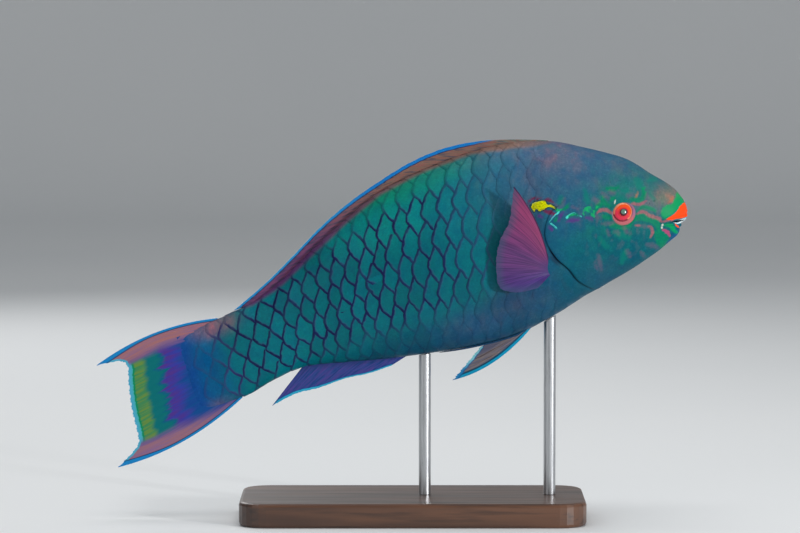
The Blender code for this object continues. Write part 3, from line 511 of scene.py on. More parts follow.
def body_tone(points):
    """The body's broad colour at points, blended from the tones by distance."""
    uv = seen(points)
    base = 0.55
    total = np.full(uv.shape[:-1], base)
    colour = np.broadcast_to(srgb(TRUNK_TONE) * base, uv.shape[:-1] + (3,)).copy()
    for middle, reach, tint in TONES:
        far = (((uv - middle) / reach) ** 2).sum(-1)
        weight = np.exp(-1.6 * far) * 2.2
        total += weight
        colour += srgb(tint) * weight[..., None]
    colour /= total[..., None]
    at, inks = zip(*SHEATH_COLOUR)
    ink = np.stack([np.interp(uv[..., 0], at, srgb(inks)[:, k]) for k in range(3)], -1)
    colour += (ink - colour) * sheath_share(uv)[..., None]
    return colour + (srgb(TAIL_ROOT_TONE) - colour) * ramp(uv[..., 0], *TAIL_ROOT_REACH)[..., None]


def add_tones(obj, flat, mottle):
    """The body's broad colours: the tone, the dorsal fin's base, the face's spots and its most vivid green."""
    uv = seen(flat)
    add_colour(obj, "tone", body_tone(flat))
    add_number(obj, "sheath", sheath_share(uv))
    add_number(obj, "mottle", mottle * np.exp(-(((uv - (36, 12)) / (26, 22)) ** 2).sum(-1) ** 1.3))
    add_number(obj, "vivid", ramp(uv[..., 0] - 0.25 * uv[..., 1], 16, 10))


def bumpy(points, size, seed=0.0):
    """Smooth unevenness from about -1 to 1, with bumps of the given size in millimetres."""
    flat = points.reshape(-1, 3) / size + seed
    return np.array([noise.noise(Vector(p)) for p in flat]).reshape(points.shape[:-1])


def grid_mesh(name, points, closed=False, reverse=False):
    """A mesh from a grid of points in the fish's axes, and the number of each corner's point."""
    rows, columns = points.shape[:2]
    index = np.arange(rows * columns).reshape(rows, columns)
    if closed:
        index = np.concatenate((index, index[:, :1]), axis=1)
    quads = np.stack((index[:-1, :-1], index[:-1, 1:], index[1:, 1:], index[1:, :-1]), -1).reshape(-1, 4)
    if reverse:
        quads = quads[:, ::-1]
    return mesh_object(name, points.reshape(-1, 3), quads)


def mesh_object(name, points, quads):
    mesh = bpy.data.meshes.new(name)
    mesh.vertices.add(len(points))
    mesh.vertices.foreach_set("co", place(points).ravel())
    mesh.loops.add(quads.size)
    mesh.loops.foreach_set("vertex_index", quads.ravel().astype(np.int32))
    mesh.polygons.add(len(quads))
    mesh.polygons.foreach_set("loop_start", np.arange(0, quads.size, quads.shape[1], dtype=np.int32))
    mesh.update(calc_edges=True)
    mesh.shade_smooth()
    made = bpy.data.objects.new(name, mesh)
    bpy.context.scene.collection.objects.link(made)
    return made


def add_number(obj, name, values):
    layer = obj.data.attributes.new(name, "FLOAT", "POINT")
    layer.data.foreach_set("value", np.ascontiguousarray(values, dtype=np.float32).ravel())


def add_colour(obj, name, values):
    layer = obj.data.attributes.new(name, "FLOAT_COLOR", "POINT")
    rgba = np.ones(values.shape[:-1] + (4,), np.float32)
    rgba[..., :3] = values
    layer.data.foreach_set("color", rgba.ravel())


def add_map(obj, uv):
    """A UV map for baking, from one (u, v) for each point."""
    layer = obj.data.uv_layers.new(name="OFBake")
    corners = np.empty(len(obj.data.loops), np.int32)
    obj.data.loops.foreach_get("vertex_index", corners)
    layer.data.foreach_set("uv", uv.reshape(-1, 2)[corners].astype(np.float32).ravel())


class Nodes:
    """A material's node tree, with one short call for each kind of node."""

    def __init__(self, name, roughness=0.4, coat=0.0, coat_roughness=0.1, sheen=0.0, specular=0.5):
        self.material = bpy.data.materials.new(name)
        self.material.use_nodes = True
        self.tree = self.material.node_tree
        self.shader = self.tree.nodes["Principled BSDF"]
        for socket, value in (("Roughness", roughness), ("Coat Weight", coat), ("Sheen Weight", sheen),
                              ("Coat Roughness", coat_roughness), ("Specular IOR Level", specular)):
            self.shader.inputs[socket].default_value = value

    def node(self, kind, **settings):
        made = self.tree.nodes.new(kind)
        for key, value in settings.items():
            setattr(made, key, value)
        return made

    def put(self, socket, value):
        if isinstance(value, bpy.types.NodeSocket):
            self.tree.links.new(value, socket)
        elif isinstance(value, (tuple, list, np.ndarray)) and len(value) == 3 and len(socket.default_value) == 4:
            socket.default_value = (*value, 1)
        else:
            socket.default_value = value

    def number(self, name):
        return self.node("ShaderNodeAttribute", attribute_name=name).outputs["Fac"]

    def colour(self, name):
        return self.node("ShaderNodeAttribute", attribute_name=name).outputs["Color"]

    def math(self, operation, a, b=0.0, c=0.0):
        made = self.node("ShaderNodeMath", operation=operation)
        for socket, value in zip(made.inputs, (a, b, c)):
            self.put(socket, value)
        return made.outputs[0]

    def step(self, value, start, end):
        """Rises smoothly from 0 at start to 1 at end."""
        made = self.node("ShaderNodeMapRange", interpolation_type="SMOOTHSTEP")
        self.put(made.inputs["Value"], value)
        low, high = (0, 1) if start < end else (1, 0)
        self.put(made.inputs["From Min"], min(start, end))
        self.put(made.inputs["From Max"], max(start, end))
        self.put(made.inputs["To Min"], low)
        self.put(made.inputs["To Max"], high)
        return made.outputs["Result"]

    def mix(self, share, a, b, blend="MIX"):
        made = self.node("ShaderNodeMix", data_type="RGBA", blend_type=blend)
        self.put(made.inputs[0], share)
        self.put(made.inputs[6], a)
        self.put(made.inputs[7], b)
        return made.outputs[2]

    def place(self, stretch=(1, 1, 1)):
        """Object coordinates in metres, stretched."""
        where = self.node("ShaderNodeTexCoord").outputs["Object"]
        mapping = self.node("ShaderNodeMapping")
        self.put(mapping.inputs["Vector"], where)
        mapping.inputs["Scale"].default_value = stretch
        return mapping.outputs[0]

    def vector(self, x, y, z=0.0):
        made = self.node("ShaderNodeCombineXYZ")
        for socket, value in zip(made.inputs, (x, y, z)):
            self.put(socket, value)
        return made.outputs[0]

    def noise(self, size, detail=2.0, where=None):
        """Noise around 0.5, with bumps of the given size in the units of where, metres if left out."""
        made = self.node("ShaderNodeTexNoise")
        self.put(made.inputs["Vector"], where or self.place())
        made.inputs["Scale"].default_value = 1 / size
        made.inputs["Detail"].default_value = detail
        return made.outputs["Fac"]

    def bump(self, height, distance, strength=1.0):
        made = self.node("ShaderNodeBump")
        made.inputs["Distance"].default_value = distance
        made.inputs["Strength"].default_value = strength
        self.put(made.inputs["Height"], height)
        if self.shader.inputs["Normal"].is_linked:
            self.put(made.inputs["Normal"], self.shader.inputs["Normal"].links[0].from_socket)
        self.put(self.shader.inputs["Normal"], made.outputs[0])

    def finish(self, colour=None, roughness=None):
        if colour is not None:
            self.put(self.shader.inputs["Base Color"], colour)
        if roughness is not None:
            self.put(self.shader.inputs["Roughness"], roughness)
        return self.material


def colour_of(name):
    return tuple(float(c) for c in srgb(COLOURS[name]))


def marked_skin(nodes):
    """The body's colour with its markings, as on the skin and the scales alike."""
    tone = nodes.colour("tone")
    blotch = nodes.noise(0.006, 4.0)
    colour = nodes.mix(nodes.step(blotch, 0.4, 0.68), tone, nodes.mix(1.0, tone, (0.7, 0.86, 0.98), "MULTIPLY"))
    upright = nodes.noise(0.0055, 3.0, nodes.place((1.0, 1.0, 0.36)))
    colour = nodes.mix(nodes.math("MULTIPLY", nodes.step(upright, 0.48, 0.66), 0.55), colour,
                       nodes.mix(1.0, colour, (2.1, 1.02, 0.93), "MULTIPLY"))
    colour = nodes.mix(nodes.math("MULTIPLY", nodes.step(upright, 0.46, 0.32), 0.5), colour,
                       nodes.mix(1.0, colour, (0.6, 1.08, 1.0), "MULTIPLY"))
    colour = nodes.mix(nodes.number("sheath"), colour, tone)
    speck, fleck = nodes.noise(0.0014, 3.0), nodes.noise(0.0009, 2.0)
    mottle = nodes.number("mottle")
    patch = nodes.noise(0.0055, 3.0, nodes.place((1.0, 1.0, 0.7)))
    colour = nodes.mix(nodes.math("MULTIPLY", nodes.step(patch, 0.44, 0.64), nodes.math("MULTIPLY", mottle, 0.5)),
                       colour, tint(6, 114, 96))
    colour = nodes.mix(nodes.math("MULTIPLY", nodes.step(patch, 0.46, 0.32), nodes.math("MULTIPLY", mottle, 0.22)),
                       colour, tint(112, 96, 114))
    colour = nodes.mix(nodes.step(speck, 0.45, 0.75), colour,
                       nodes.mix(1.0, colour, (1.3, 1.2, 1.16), "MULTIPLY"))
    colour = nodes.mix(nodes.step(fleck, 0.5, 0.3), colour,
                       nodes.mix(1.0, colour, (0.8, 0.86, 0.88), "MULTIPLY"))
    rough = nodes.math("MULTIPLY", nodes.math("SUBTRACT", nodes.noise(0.0018, 4.0), 0.5), 2.2)
    soft = {"green": 0.8, "sea": 1.5, "pink": 0.55, "blush": 1.3, "maroon": 0.7, "rose": 0.45, "violet": 0.8,
            "blue": 1.2, "bronze": 0.9, "cyan": 0.3, "yellow": 0.3, "straw": 0.25, "pale": 0.25, "lip": 0.25}
    strong = {"green": 0.88, "sea": 0.6, "pink": 0.82, "maroon": 0.9, "violet": 0.75, "blue": 0.8, "bronze": 0.75,
              "blush": 0.4, "lime": 0.9, "straw": 0.8}
    sways = {"lip": 0.25, "cyan": 0.5, "pale": 0.1, "straw": 0.7, "sea": 1.3, "pink": 0.6, "rose": 0.5}
    for name in MARKS:
        depth = nodes.math("MULTIPLY_ADD", rough, sways.get(name, 1.0), nodes.number(name))
        if name == "yellow":
            rim = nodes.math("MULTIPLY", nodes.step(depth, -1.1, -0.4), 0.7)
            colour = nodes.mix(rim, colour, colour_of("yellow_rim"))
        edge = soft.get(name, 0.4)
        share = nodes.math("MULTIPLY", nodes.step(depth, -edge, edge), strong.get(name, 1.0))
        ink = colour_of(name)
        if name in ("yellow", "straw"):
            ink = nodes.mix(nodes.step(fleck, 0.5, 0.66), ink, tint(160, 150, 0))
        if name in ("green", "pink", "blush", "lime"):
            ink = nodes.mix(nodes.step(speck, 0.4, 0.65), ink, nodes.mix(1.0, ink, (0.7, 0.8, 0.92), "MULTIPLY"))
        if name == "green":
            ink = nodes.mix(nodes.number("vivid"), ink, tint(0, 146, 84))
        colour = nodes.mix(share, colour, ink)
    return colour


def skin_material():
    nodes = Nodes("head_skin", coat=0.02, coat_roughness=0.3, specular=0.05)
    colour = marked_skin(nodes)
    uneven = nodes.math("MULTIPLY", nodes.math("SUBTRACT", nodes.noise(0.0014, 3.0), 0.5), 1.2)
    lid = nodes.mix(nodes.step(nodes.math("ADD", nodes.number("lid_low"), uneven), 0.2, 0.8), colour_of("lid_back"),
                    colour_of("lid"))
    colour = nodes.mix(nodes.number("lid"), colour, lid)
    # Painted shade: near-black in the slit behind the gill cover, the pocket at the pectoral's base, the crease by
    # the eye and the nostril pits, and inside the mouth
    colour = nodes.mix(nodes.number("dark"), colour, colour_of("painted_shade"))
    colour = nodes.mix(nodes.number("mouth"), colour, colour_of("mouth"))
    fine = nodes.noise(0.0009, 3.0)
    nodes.bump(fine, 0.00006, 0.5)
    nodes.bump(nodes.noise(0.004, 2.0), 0.0002, 0.4)
    rough = nodes.math("MULTIPLY_ADD", fine, 0.2, 0.4)
    return nodes.finish(colour, rough)


def row_slices():
    """Slices of the skin's rows along the flank's midline, close together on the head and at the gill edge."""
    gill_s = float(np.interp(GILL_MEAN, FLANK.slices, FLANK.s))
    spacing = [(0, 0.36), (18, 0.38), (24, 0.42), (58, 0.44), (62, 0.62), (gill_s - 2, 0.62),
               (gill_s - 1.2, 0.16), (gill_s + 1.2, 0.16), (gill_s + 3, 0.9), (gill_s + 14, 2.0), (400, 2.4)]
    s, found = 0.0, []
    while s < FLANK.s[-1]:
        found.append(s)
        s += table(s, spacing)
    cap = -np.sin(np.radians(np.linspace(88, 8, 9)))
    return np.concatenate((cap, np.interp(found, FLANK.s, FLANK.slices)))


def ring_angles(half_count=144):
    """Angles round the body, closest together at the eyes and the mouth, the left flank's and then the right's."""
    spread = np.radians(np.linspace(-90, 90, 721))
    density = 1 + 1.5 * np.exp(-((np.degrees(spread) - 12) / 22) ** 2)
    total = np.concatenate(((0,), np.cumsum((density[1:] + density[:-1]) / 2)))
    left = np.interp(np.linspace(0, total[-1], half_count + 1), total, spread)
    return np.concatenate((left, math.pi - left[-2:0:-1]))


def eye_frame(side):
    """The middle of an eyeball and the way that it looks."""
    t, angle = FLANK.at(*EYE_AT)
    surface, way = body_out(t, angle, 0.0)
    return (surface - way * EYE_SUNK) * (1, side, 1), way * (1, side, 1)


def eye_plane(points, side):
    """Points round an eye: how far ahead of its axis, how far above it, and how far out along an oval round it."""
    centre, look = eye_frame(side)
    apart = points - centre
    ahead_way = np.array((-math.cos(PITCH), 0, -math.sin(PITCH)))
    ahead_way = ahead_way - look * (ahead_way @ look)
    ahead_way /= np.linalg.norm(ahead_way)
    up_way = np.cross(ahead_way, look)
    up_way *= math.copysign(1, up_way[2])
    ahead, up = apart @ ahead_way, apart @ up_way
    long = ahead * math.cos(IRIS_TURN) + up * math.sin(IRIS_TURN)
    short = up * math.cos(IRIS_TURN) - ahead * math.sin(IRIS_TURN)
    far = np.where(apart @ look > 0, np.hypot(long, short / IRIS_SQUASH), 99.0)
    return ahead, up, far


def mouth_depth(points):
    outline = UPPER_MARGIN + LOWER_MARGIN[::-1]
    return area_depth(points[..., [0, 2]], outline)


def cover_profile(t, fold):
    """Distance in front of the gill cover's rear edge, and how strongly the cover stands out there."""
    ahead = (gill_slice(fold) - t) * SLICE_LENGTH
    degrees = np.degrees(fold)
    share = (1 - ramp(degrees, *COVER_TOP)) * ramp(degrees, *COVER_THROAT) * (0.4 + 0.6 * ramp(degrees, -7, -15))
    return ahead, share


def make_skin():
    """One skin from the lips to the tail fin's root, with lids, lips, nostrils and gill covers raised in it."""
    angles = ring_angles()
    fold = np.arcsin(np.clip(np.sin(angles), -1, 1))
    base = row_slices()
    warp = ramp(base, 4.9, GILL_MEAN) * (1 - ramp(base, GILL_MEAN, 9.6))
    t = base[:, None] + (gill_slice(fold) - GILL_MEAN)[None] * warp[:, None]
    t, angle = np.broadcast_arrays(t, angles[None])
    fold = np.broadcast_to(fold, t.shape)
    flat = muzzle(body(t, angle))
    painted_shade, lid, lid_low, mouth_shade = (np.zeros(t.shape) for _ in range(4))

    ahead, share = cover_profile(t, fold)
    level = SKIN_LEVEL_HEAD + (SKIN_LEVEL_TRUNK - SKIN_LEVEL_HEAD) * ramp(-ahead, -1, 12)
    cover = np.where(ahead >= 0, COVER_RISE * (1 - np.clip(ahead / COVER_LENGTH, 0, 1)) ** 2, 0)
    cover -= 0.3 * COVER_RISE * ramp(ahead, 0.9, 0.0) * (ahead >= 0)
    behind = -GROOVE * ramp(-ahead, 0, 0.3) * (1 - ramp(-ahead, 0.8, 3.2))
    out = level + share * (cover + np.where(ahead < 0, behind, 0))
    degrees = np.degrees(fold)
    # Painted shade: a dark line in the slit behind the gill cover's free edge, and a dark pocket between the cover's
    # rear and the pectoral fin's base
    line = ramp(-ahead, -0.15, 0.05) * (1 - ramp(-ahead, 0.5, 1.1)) * table(degrees, GILL_SHADE)
    pocket = 0.6 * ramp(-ahead, 0.0, 0.3) * (1 - ramp(-ahead, 2.0, 3.6)) * np.exp(-((degrees + 21) / 6) ** 2)
    painted_shade = np.maximum(painted_shade, share * np.maximum(line, pocket))
    cheek = (ahead - COVER_LENGTH + 2) / 3
    out -= 0.22 * share * np.exp(-cheek ** 2)

    for side in (RIGHT, LEFT):
        before, over, far = eye_plane(flat, side)
        rim = LID_RISE * ramp(far, ORBIT_RADIUS, LID_RADIUS) * ramp(far, IRIS_RADIUS - 0.6, LID_RADIUS - 0.1)
        near = far < ORBIT_RADIUS
        out = np.where(near, out + rim, out)
        out -= 3.2 * (1 - ramp(far, IRIS_RADIUS - 1.2, IRIS_RADIUS + 0.45))
        lower_front = 0.5 + 0.5 * (0.6 * before - 0.8 * over) / np.maximum(np.hypot(before, over), 0.1)
        width = IRIS_RADIUS + 0.1 + 2.8 * lower_front ** 1.5
        band = ramp(far, IRIS_RADIUS - 0.4, IRIS_RADIUS + 0.2) * (1 - ramp(far, width - 0.2, width + 0.5))
        lid = np.maximum(lid, band)
        lid_low = np.where(near, ramp(-over / np.maximum(np.hypot(before, over), 0.1), -0.1, 0.8), lid_low)
        # Painted shade in the crease below and in front of the lid
        crease = 0.3 * lower_front ** 2 * np.exp(-((far - width - 0.5) / 0.4) ** 2)
        painted_shade = np.maximum(painted_shade, crease * near)
        out -= 0.25 * np.exp(-((far - width - 0.4) / 0.5) ** 2) * lower_front
        for u, v in NOSTRILS:
            pit = np.linalg.norm(flat[..., [0, 2]] - (u, v), axis=-1) + 9 * (flat[..., 1] * side < 0)
            out += 0.12 * np.exp(-((pit - 1.0) / 0.4) ** 2) - 0.5 * (1 - ramp(pit, 0.15, NOSTRIL_RADIUS))
            # Painted shade in the nostril pits
            painted_shade = np.maximum(painted_shade, 0.2 * (1 - ramp(pit, 0.2, NOSTRIL_RADIUS)))

    inside = mouth_depth(flat)
    outside = -inside
    lips = LIP_RISE * ramp(outside, -0.1, 0.7) * (1 - ramp(outside, 0.9, LIP_WIDTH))
    lips -= 0.2 * np.exp(-((outside - LIP_WIDTH - 0.3) / 0.5) ** 2)
    out = out + lips - MOUTH_DEPTH * ramp(inside, 0.0, 0.8)
    # Painted shade inside the mouth, which is drawn near-black
    mouth_shade = ramp(inside, 0.15, 0.8)
    out = out + 0.14 * bumpy(flat, 9.0) * ramp(t, 1.0, 3.0)

    points = muzzle(body_out(t, angle, out)[0])
    skin = grid_mesh("skin", points, closed=True)
    add_tones(skin, flat, 1.0)
    add_number(skin, "lid_low", lid_low)
    for name, depth in mark_depths(flat).items():
        add_number(skin, name, depth)
    add_number(skin, "dark", painted_shade)
    add_number(skin, "lid", lid)
    add_number(skin, "mouth", mouth_shade)
    along = np.interp(base, np.linspace(-1, SKIN_END, 60), np.linspace(0, 1, 60))
    around = np.arange(len(angles)) / len(angles)
    add_map(skin, np.stack(np.broadcast_arrays(along[:, None], around[None]), -1))
    skin.data.materials.append(skin_material())
    return skin


# The scale rows, by distance along the flank's midline
SCALE_LENGTH = [(150, 8.8), (190, 8.9), (230, 8.5), (275, 12.6)]
ROW_HEIGHT = [(150, 16.4), (190, 12.0), (230, 11.9), (275, 8.6)]
ROW_MIDDLE = [(150, 2.5), (215, 6.3), (280, 5.5)]
ROW_LAG = [(150, 0.15), (270, 0.54)]
SCALE_REACH = [(150, 12.4), (270, 9.0)]
SCALE_PHASE = 0.15
# A scale's rear edge: how far below its middle it reaches back most, and how steeply it runs forward from
# there, upwards and downwards
LOWEST_BACK = [(150, 2.0), (270, 0.0)]
EDGE_SLOPE_UP = [(150, 0.95), (270, 0.68)]
EDGE_SLOPE_DOWN = [(150, 0.46), (270, 0.92)]
EDGE_ROUND_UP, EDGE_ROUND_DOWN = [(150, 7.0), (270, 2.2)], [(150, 2.6), (270, 2.2)]
SCALE_SHIFT, ROW_SHIFT, EDGE_WAVE = 0.5, 0.7, 0.28
PLATE_LENGTH, PLATE_LIFT, PLATE_TUCK = 1.55, 0.5, 0.14
SCALE_ROWS = range(-6, 6)
ACROSS, ALONG = 17, 15


def scale_middles():
    """The middles of the scales of one flank, as (s, w) with each one's length."""
    s = np.linspace(40, FLANK.s[-1], 2000)
    phase = np.concatenate(((0,), np.cumsum(np.diff(s) / table(s[1:], SCALE_LENGTH))))
    phase -= np.interp(150, s, phase)
    for row in SCALE_ROWS:
        own = phase - table(s, ROW_LAG) * row - SCALE_PHASE
        for k in range(math.ceil(own[0]), math.floor(own[-1]) + 1):
            at = float(np.interp(k, own, s))
            yield at, float(table(at, ROW_MIDDLE) + row * table(at, ROW_HEIGHT))


def edge_ahead(s, side):
    """How far forward of its rearmost point a scale's rear edge is, at heights above the scale's middle."""
    above = side + table(s, LOWEST_BACK)
    up, down = table(s, EDGE_ROUND_UP), table(s, EDGE_ROUND_DOWN)
    return np.where(above > 0, table(s, EDGE_SLOPE_UP) * (np.hypot(above, up) - up),
                    table(s, EDGE_SLOPE_DOWN) * (np.hypot(above, down) - down))


def scale_plate(s, w, chance):
    """One scale as a grid: unrolled places, height over the skin's level, and distance from its rear edge."""
    length, reach = table(s, SCALE_LENGTH), table(s, SCALE_REACH)
    shift, lift, first, second = chance.normal(), chance.normal(), *chance.uniform(0, 2 * math.pi, 2)
    across = np.linspace(-1, 1, ACROSS)[:, None]
    back = np.concatenate((1 - np.linspace(0, 1, ALONG - 2) ** 1.6, (0.0, 0.0)))[None]
    side = across * reach
    edge = s + SCALE_SHIFT * shift - edge_ahead(s, side)
    edge += EDGE_WAVE * (np.sin(side * 0.6 + first) + 0.5 * np.sin(side * 1.3 + second))
    plate = PLATE_LENGTH * length
    ss = edge - back * plate
    ww = w + ROW_SHIFT * lift + side * (1 - 0.12 * back)
    height = PLATE_LIFT * (1 - back) ** 1.1 - PLATE_TUCK * ramp(np.abs(across), 0.72, 1.0)
    height = np.broadcast_to(height, ss.shape).copy()
    height[:, -2] -= 0.1
    ss[:, -2] += 0.14
    height[:, -1] = -0.25
    ss[:, -1] += 0.12
    slope = np.gradient(edge[:, 0], side[:, 0])[:, None]
    depth = np.broadcast_to(back * plate, ss.shape) / np.sqrt(1 + slope ** 2)
    return ss, ww, height, depth


def scale_material():
    nodes = Nodes("scaled_skin", coat=0.06, coat_roughness=0.22, specular=0.07)
    colour = marked_skin(nodes)
    edge, net, pale = nodes.number("edge"), nodes.number("net"), nodes.number("pale_net")
    wobble = nodes.math("MULTIPLY", nodes.math("SUBTRACT", nodes.noise(0.0032, 3.0), 0.5), 2.2)
    edge_in = nodes.math("ADD", edge, wobble)
    fringe = nodes.math("MULTIPLY", nodes.step(edge_in, 2.1, 0.9), nodes.math("MULTIPLY", net, 0.5))
    colour = nodes.mix(fringe, colour, colour_of("net_edge"))
    ink = nodes.mix(pale, colour_of("net"), colour_of("net_pale"))
    patchy = nodes.math("MULTIPLY_ADD", nodes.step(nodes.noise(0.008, 2.0), 0.35, 0.6), 0.3, 0.7)
    rim = nodes.math("MULTIPLY", nodes.step(edge_in, 1.5, 0.7), nodes.math("MULTIPLY", net, patchy))
    colour = nodes.mix(rim, colour, ink)
    shade = nodes.math("MULTIPLY_ADD", nodes.number("own"), 0.24, 0.88)
    colour = nodes.mix(1.0, colour, nodes.vector(shade, shade, shade), "MULTIPLY")
    where = nodes.vector(nodes.number("across"), nodes.math("MULTIPLY", edge, 0.12))
    lines = nodes.noise(0.35, 3.0, where)
    nodes.bump(lines, 0.00012, 0.5)
    rings = nodes.node("ShaderNodeTexWave", wave_type="BANDS", bands_direction="X")
    nodes.put(rings.inputs["Vector"], nodes.vector(nodes.math("MULTIPLY", edge, 0.5), 0.0))
    rings.inputs["Scale"].default_value = 1.6
    nodes.bump(rings.outputs["Fac"], 0.00004, 0.4)
    rough = nodes.math("MULTIPLY_ADD", lines, 0.2, 0.3)
    return nodes.finish(colour, rough)


def net_strength(t, degrees):
    """How dark the scales' edges are: strong on the flank, faint at the shoulder, back and belly."""
    low = ramp(-degrees, 10, 40)
    front = ramp(t, 8.3 + 1.0 * low, 10.4 + 1.8 * low)
    rear = ramp(t, 12.2, 14.2)
    back = 1 - 0.85 * ramp(degrees, 46, 60) * (1 - rear)
    belly = 1 - (0.8 - 0.4 * rear) * ramp(-degrees, 22 + 26 * rear, 44 + 26 * rear)
    return np.maximum(front * back * belly, 0.04) * (1 - 0.8 * ramp(t, 16.3, 17.4)) * (1 - 0.85 * ramp(degrees, 44, 66) * ramp(t, 14.8, 16.0))


def make_scales(side, name, finish):
    """The scales of one flank, each a thin plate whose free rear edge lies over the next ones."""
    chance = np.random.default_rng(7)
    grids = {key: [] for key in ("s", "w", "height", "edge", "own", "across", "root")}
    for s, w in scale_middles():
        t = np.interp(s, FLANK.s, FLANK.slices)
        round_it = FLANK.look_up(np.array([t, t]), np.array([-math.pi / 2, math.pi / 2]))
        own = chance.random()
        last = LAST_SCALE - TOP_SCALES_END * (w > round_it[1] - 6)
        if not round_it[0] - 5 < w < round_it[1] + 5 or s > last:
            continue
        ss, ww, height, depth = scale_plate(s, w, chance)
        grids["s"].append(ss)
        grids["w"].append(np.clip(ww, round_it[0] + 0.3, round_it[1] - 0.3))
        grids["height"].append(height)
        grids["edge"].append(depth)
        grids["own"].append(np.full(ss.shape, own))
        grids["across"].append(np.broadcast_to(np.linspace(-9, 9, ACROSS)[:, None] + 20 * own, ss.shape))
        grids["root"].append(np.broadcast_to((s, w), ss.shape + (2,)))
    grids = {key: np.array(value) for key, value in grids.items()}
    t, angle = FLANK.rolled(grids["s"], grids["w"])
    ahead, share = cover_profile(t, angle)
    level = SKIN_LEVEL_HEAD + (SKIN_LEVEL_TRUNK - SKIN_LEVEL_HEAD) * ramp(-ahead, -1, 12)
    level = np.minimum(level, SKIN_LEVEL_TRUNK + 0.1)
    fade = ramp(-ahead, 4.0, 34.0) * (1 - 0.8 * ramp(t, 16.6, 17.6))
    fade *= 1 - 0.75 * ramp(-np.degrees(angle), 24, 48) * (1 - ramp(t, 11.5, 14))
    sunk = share * (1 - ramp(-ahead, 1.2, 3.6)) * 0.9
    out = level - 0.12 + grids["height"] * (0.25 + 0.75 * fade) - sunk - 0.5 * (1 - ramp(-ahead, -4, 0))
    points = body_out(t, angle, out)[0] * (1, side, 1)
    count, rows, columns = t.shape
    index = np.arange(count * rows * columns).reshape(count, rows, columns)
    quads = np.stack((index[:, :-1, :-1], index[:, 1:, :-1], index[:, 1:, 1:], index[:, :-1, 1:]), -1)
    quads = quads.reshape(-1, 4)
    if side == RIGHT:
        quads = quads[:, ::-1]
    scales = mesh_object(name, points.reshape(-1, 3), quads)
    flat = body(t, angle)
    add_tones(scales, flat, 0.0)
    for mark, depth in mark_depths(flat).items():
        add_number(scales, mark, depth)
    add_number(scales, "edge", grids["edge"])
    add_number(scales, "own", grids["own"])
    add_number(scales, "across", grids["across"])
    add_number(scales, "net", net_strength(t, np.degrees(angle)) * (1 - sheath_share(seen(flat))))
    add_number(scales, "pale_net", np.maximum(1 - ramp(t, 8.4, 9.8), 0.7 * ramp(t, 15.4, 17.0)))
    root, local = grids["root"], np.stack((1 - grids["edge"] / 18, grids["across"] % 20 / 20), -1)
    uv = np.stack((root[..., 0] / 330, 0.5 + root[..., 1] / 160), -1) + (local - 0.5) * (0.022, 0.05)
    add_map(scales, uv)
    scales.data.materials.append(finish)
    return scales


LAST_SCALE, TOP_SCALES_END = 311.0, 12.0


def ball_material():
    """The eye: a dark pupil holding a painted grey-green reflection, in an orange ring that turns pink-red below,
    with a salmon rim above and maroon painted shade below.
    """
    nodes = Nodes("eye", roughness=0.25, coat=0.2, coat_roughness=0.1, specular=0.15)
    far, height, ahead = nodes.number("far"), nodes.number("height"), nodes.number("ahead")
    uneven = nodes.math("SUBTRACT", nodes.noise(0.0011, 3.0), 0.5)
    reach = nodes.math("MULTIPLY_ADD", uneven, 0.8, far)
    turned = nodes.math("MULTIPLY_ADD", uneven, 4.0, nodes.math("MULTIPLY_ADD", ahead, 0.5, height))
    iris = nodes.mix(nodes.step(turned, -2.6, 2.2), tint(206, 46, 72), tint(220, 74, 26))
    iris = nodes.mix(nodes.step(reach, 3.6, 2.7), iris, tint(196, 46, 52))
    # The iris's rim: a salmon line above, and maroon below, which is painted shade along the lower lid
    lower = nodes.math("MULTIPLY_ADD", ahead, 0.35, height)
    rim = nodes.mix(nodes.step(lower, -3.4, -2.4), tint(128, 40, 54), tint(214, 128, 92))
    iris = nodes.mix(nodes.step(reach, 4.85, 5.15), iris, rim)
    # The pupil: dark, with a painted grey-green reflection in its middle, set a little high
    centre = nodes.math("MULTIPLY_ADD", height, -0.25, reach)
    pupil = nodes.mix(nodes.step(centre, 1.9, 1.0), tint(66, 14, 32), tint(92, 122, 108))
    colour = nodes.mix(nodes.step(reach, 2.6, 2.2), iris, pupil)
    return nodes.finish(colour)


def make_eye(side, name, finish):
    """An eyeball whose front, where the iris lies, is set in a little."""
    centre, look = eye_frame(side)
    spin = np.array(Vector(look).to_track_quat("Z", "Y").to_matrix())
    turns = np.linspace(0, 2 * math.pi, 97)[:-1]
    tilts = np.radians(np.concatenate((np.linspace(1, 62, 56), np.linspace(66, 178, 24))))
    radius = EYE_RADIUS - 0.35 * np.exp(-((np.degrees(tilts) - 24) / 11) ** 2)
    radius = np.where(np.degrees(tilts) < 21, EYE_RADIUS - 0.28, radius)
    ring = np.sin(tilts) * radius
    local = np.stack((ring[:, None] * np.cos(turns), ring[:, None] * np.sin(turns),
                      np.broadcast_to((np.cos(tilts) * radius)[:, None], (len(tilts), len(turns)))), -1)
    points = centre + local @ spin.T
    eye = grid_mesh(name, points, closed=True)
    ahead, up, far = eye_plane(points, side)
    add_number(eye, "far", far)
    add_number(eye, "height", up)
    add_number(eye, "ahead", ahead)
    eye.data.materials.append(finish)
    return eye


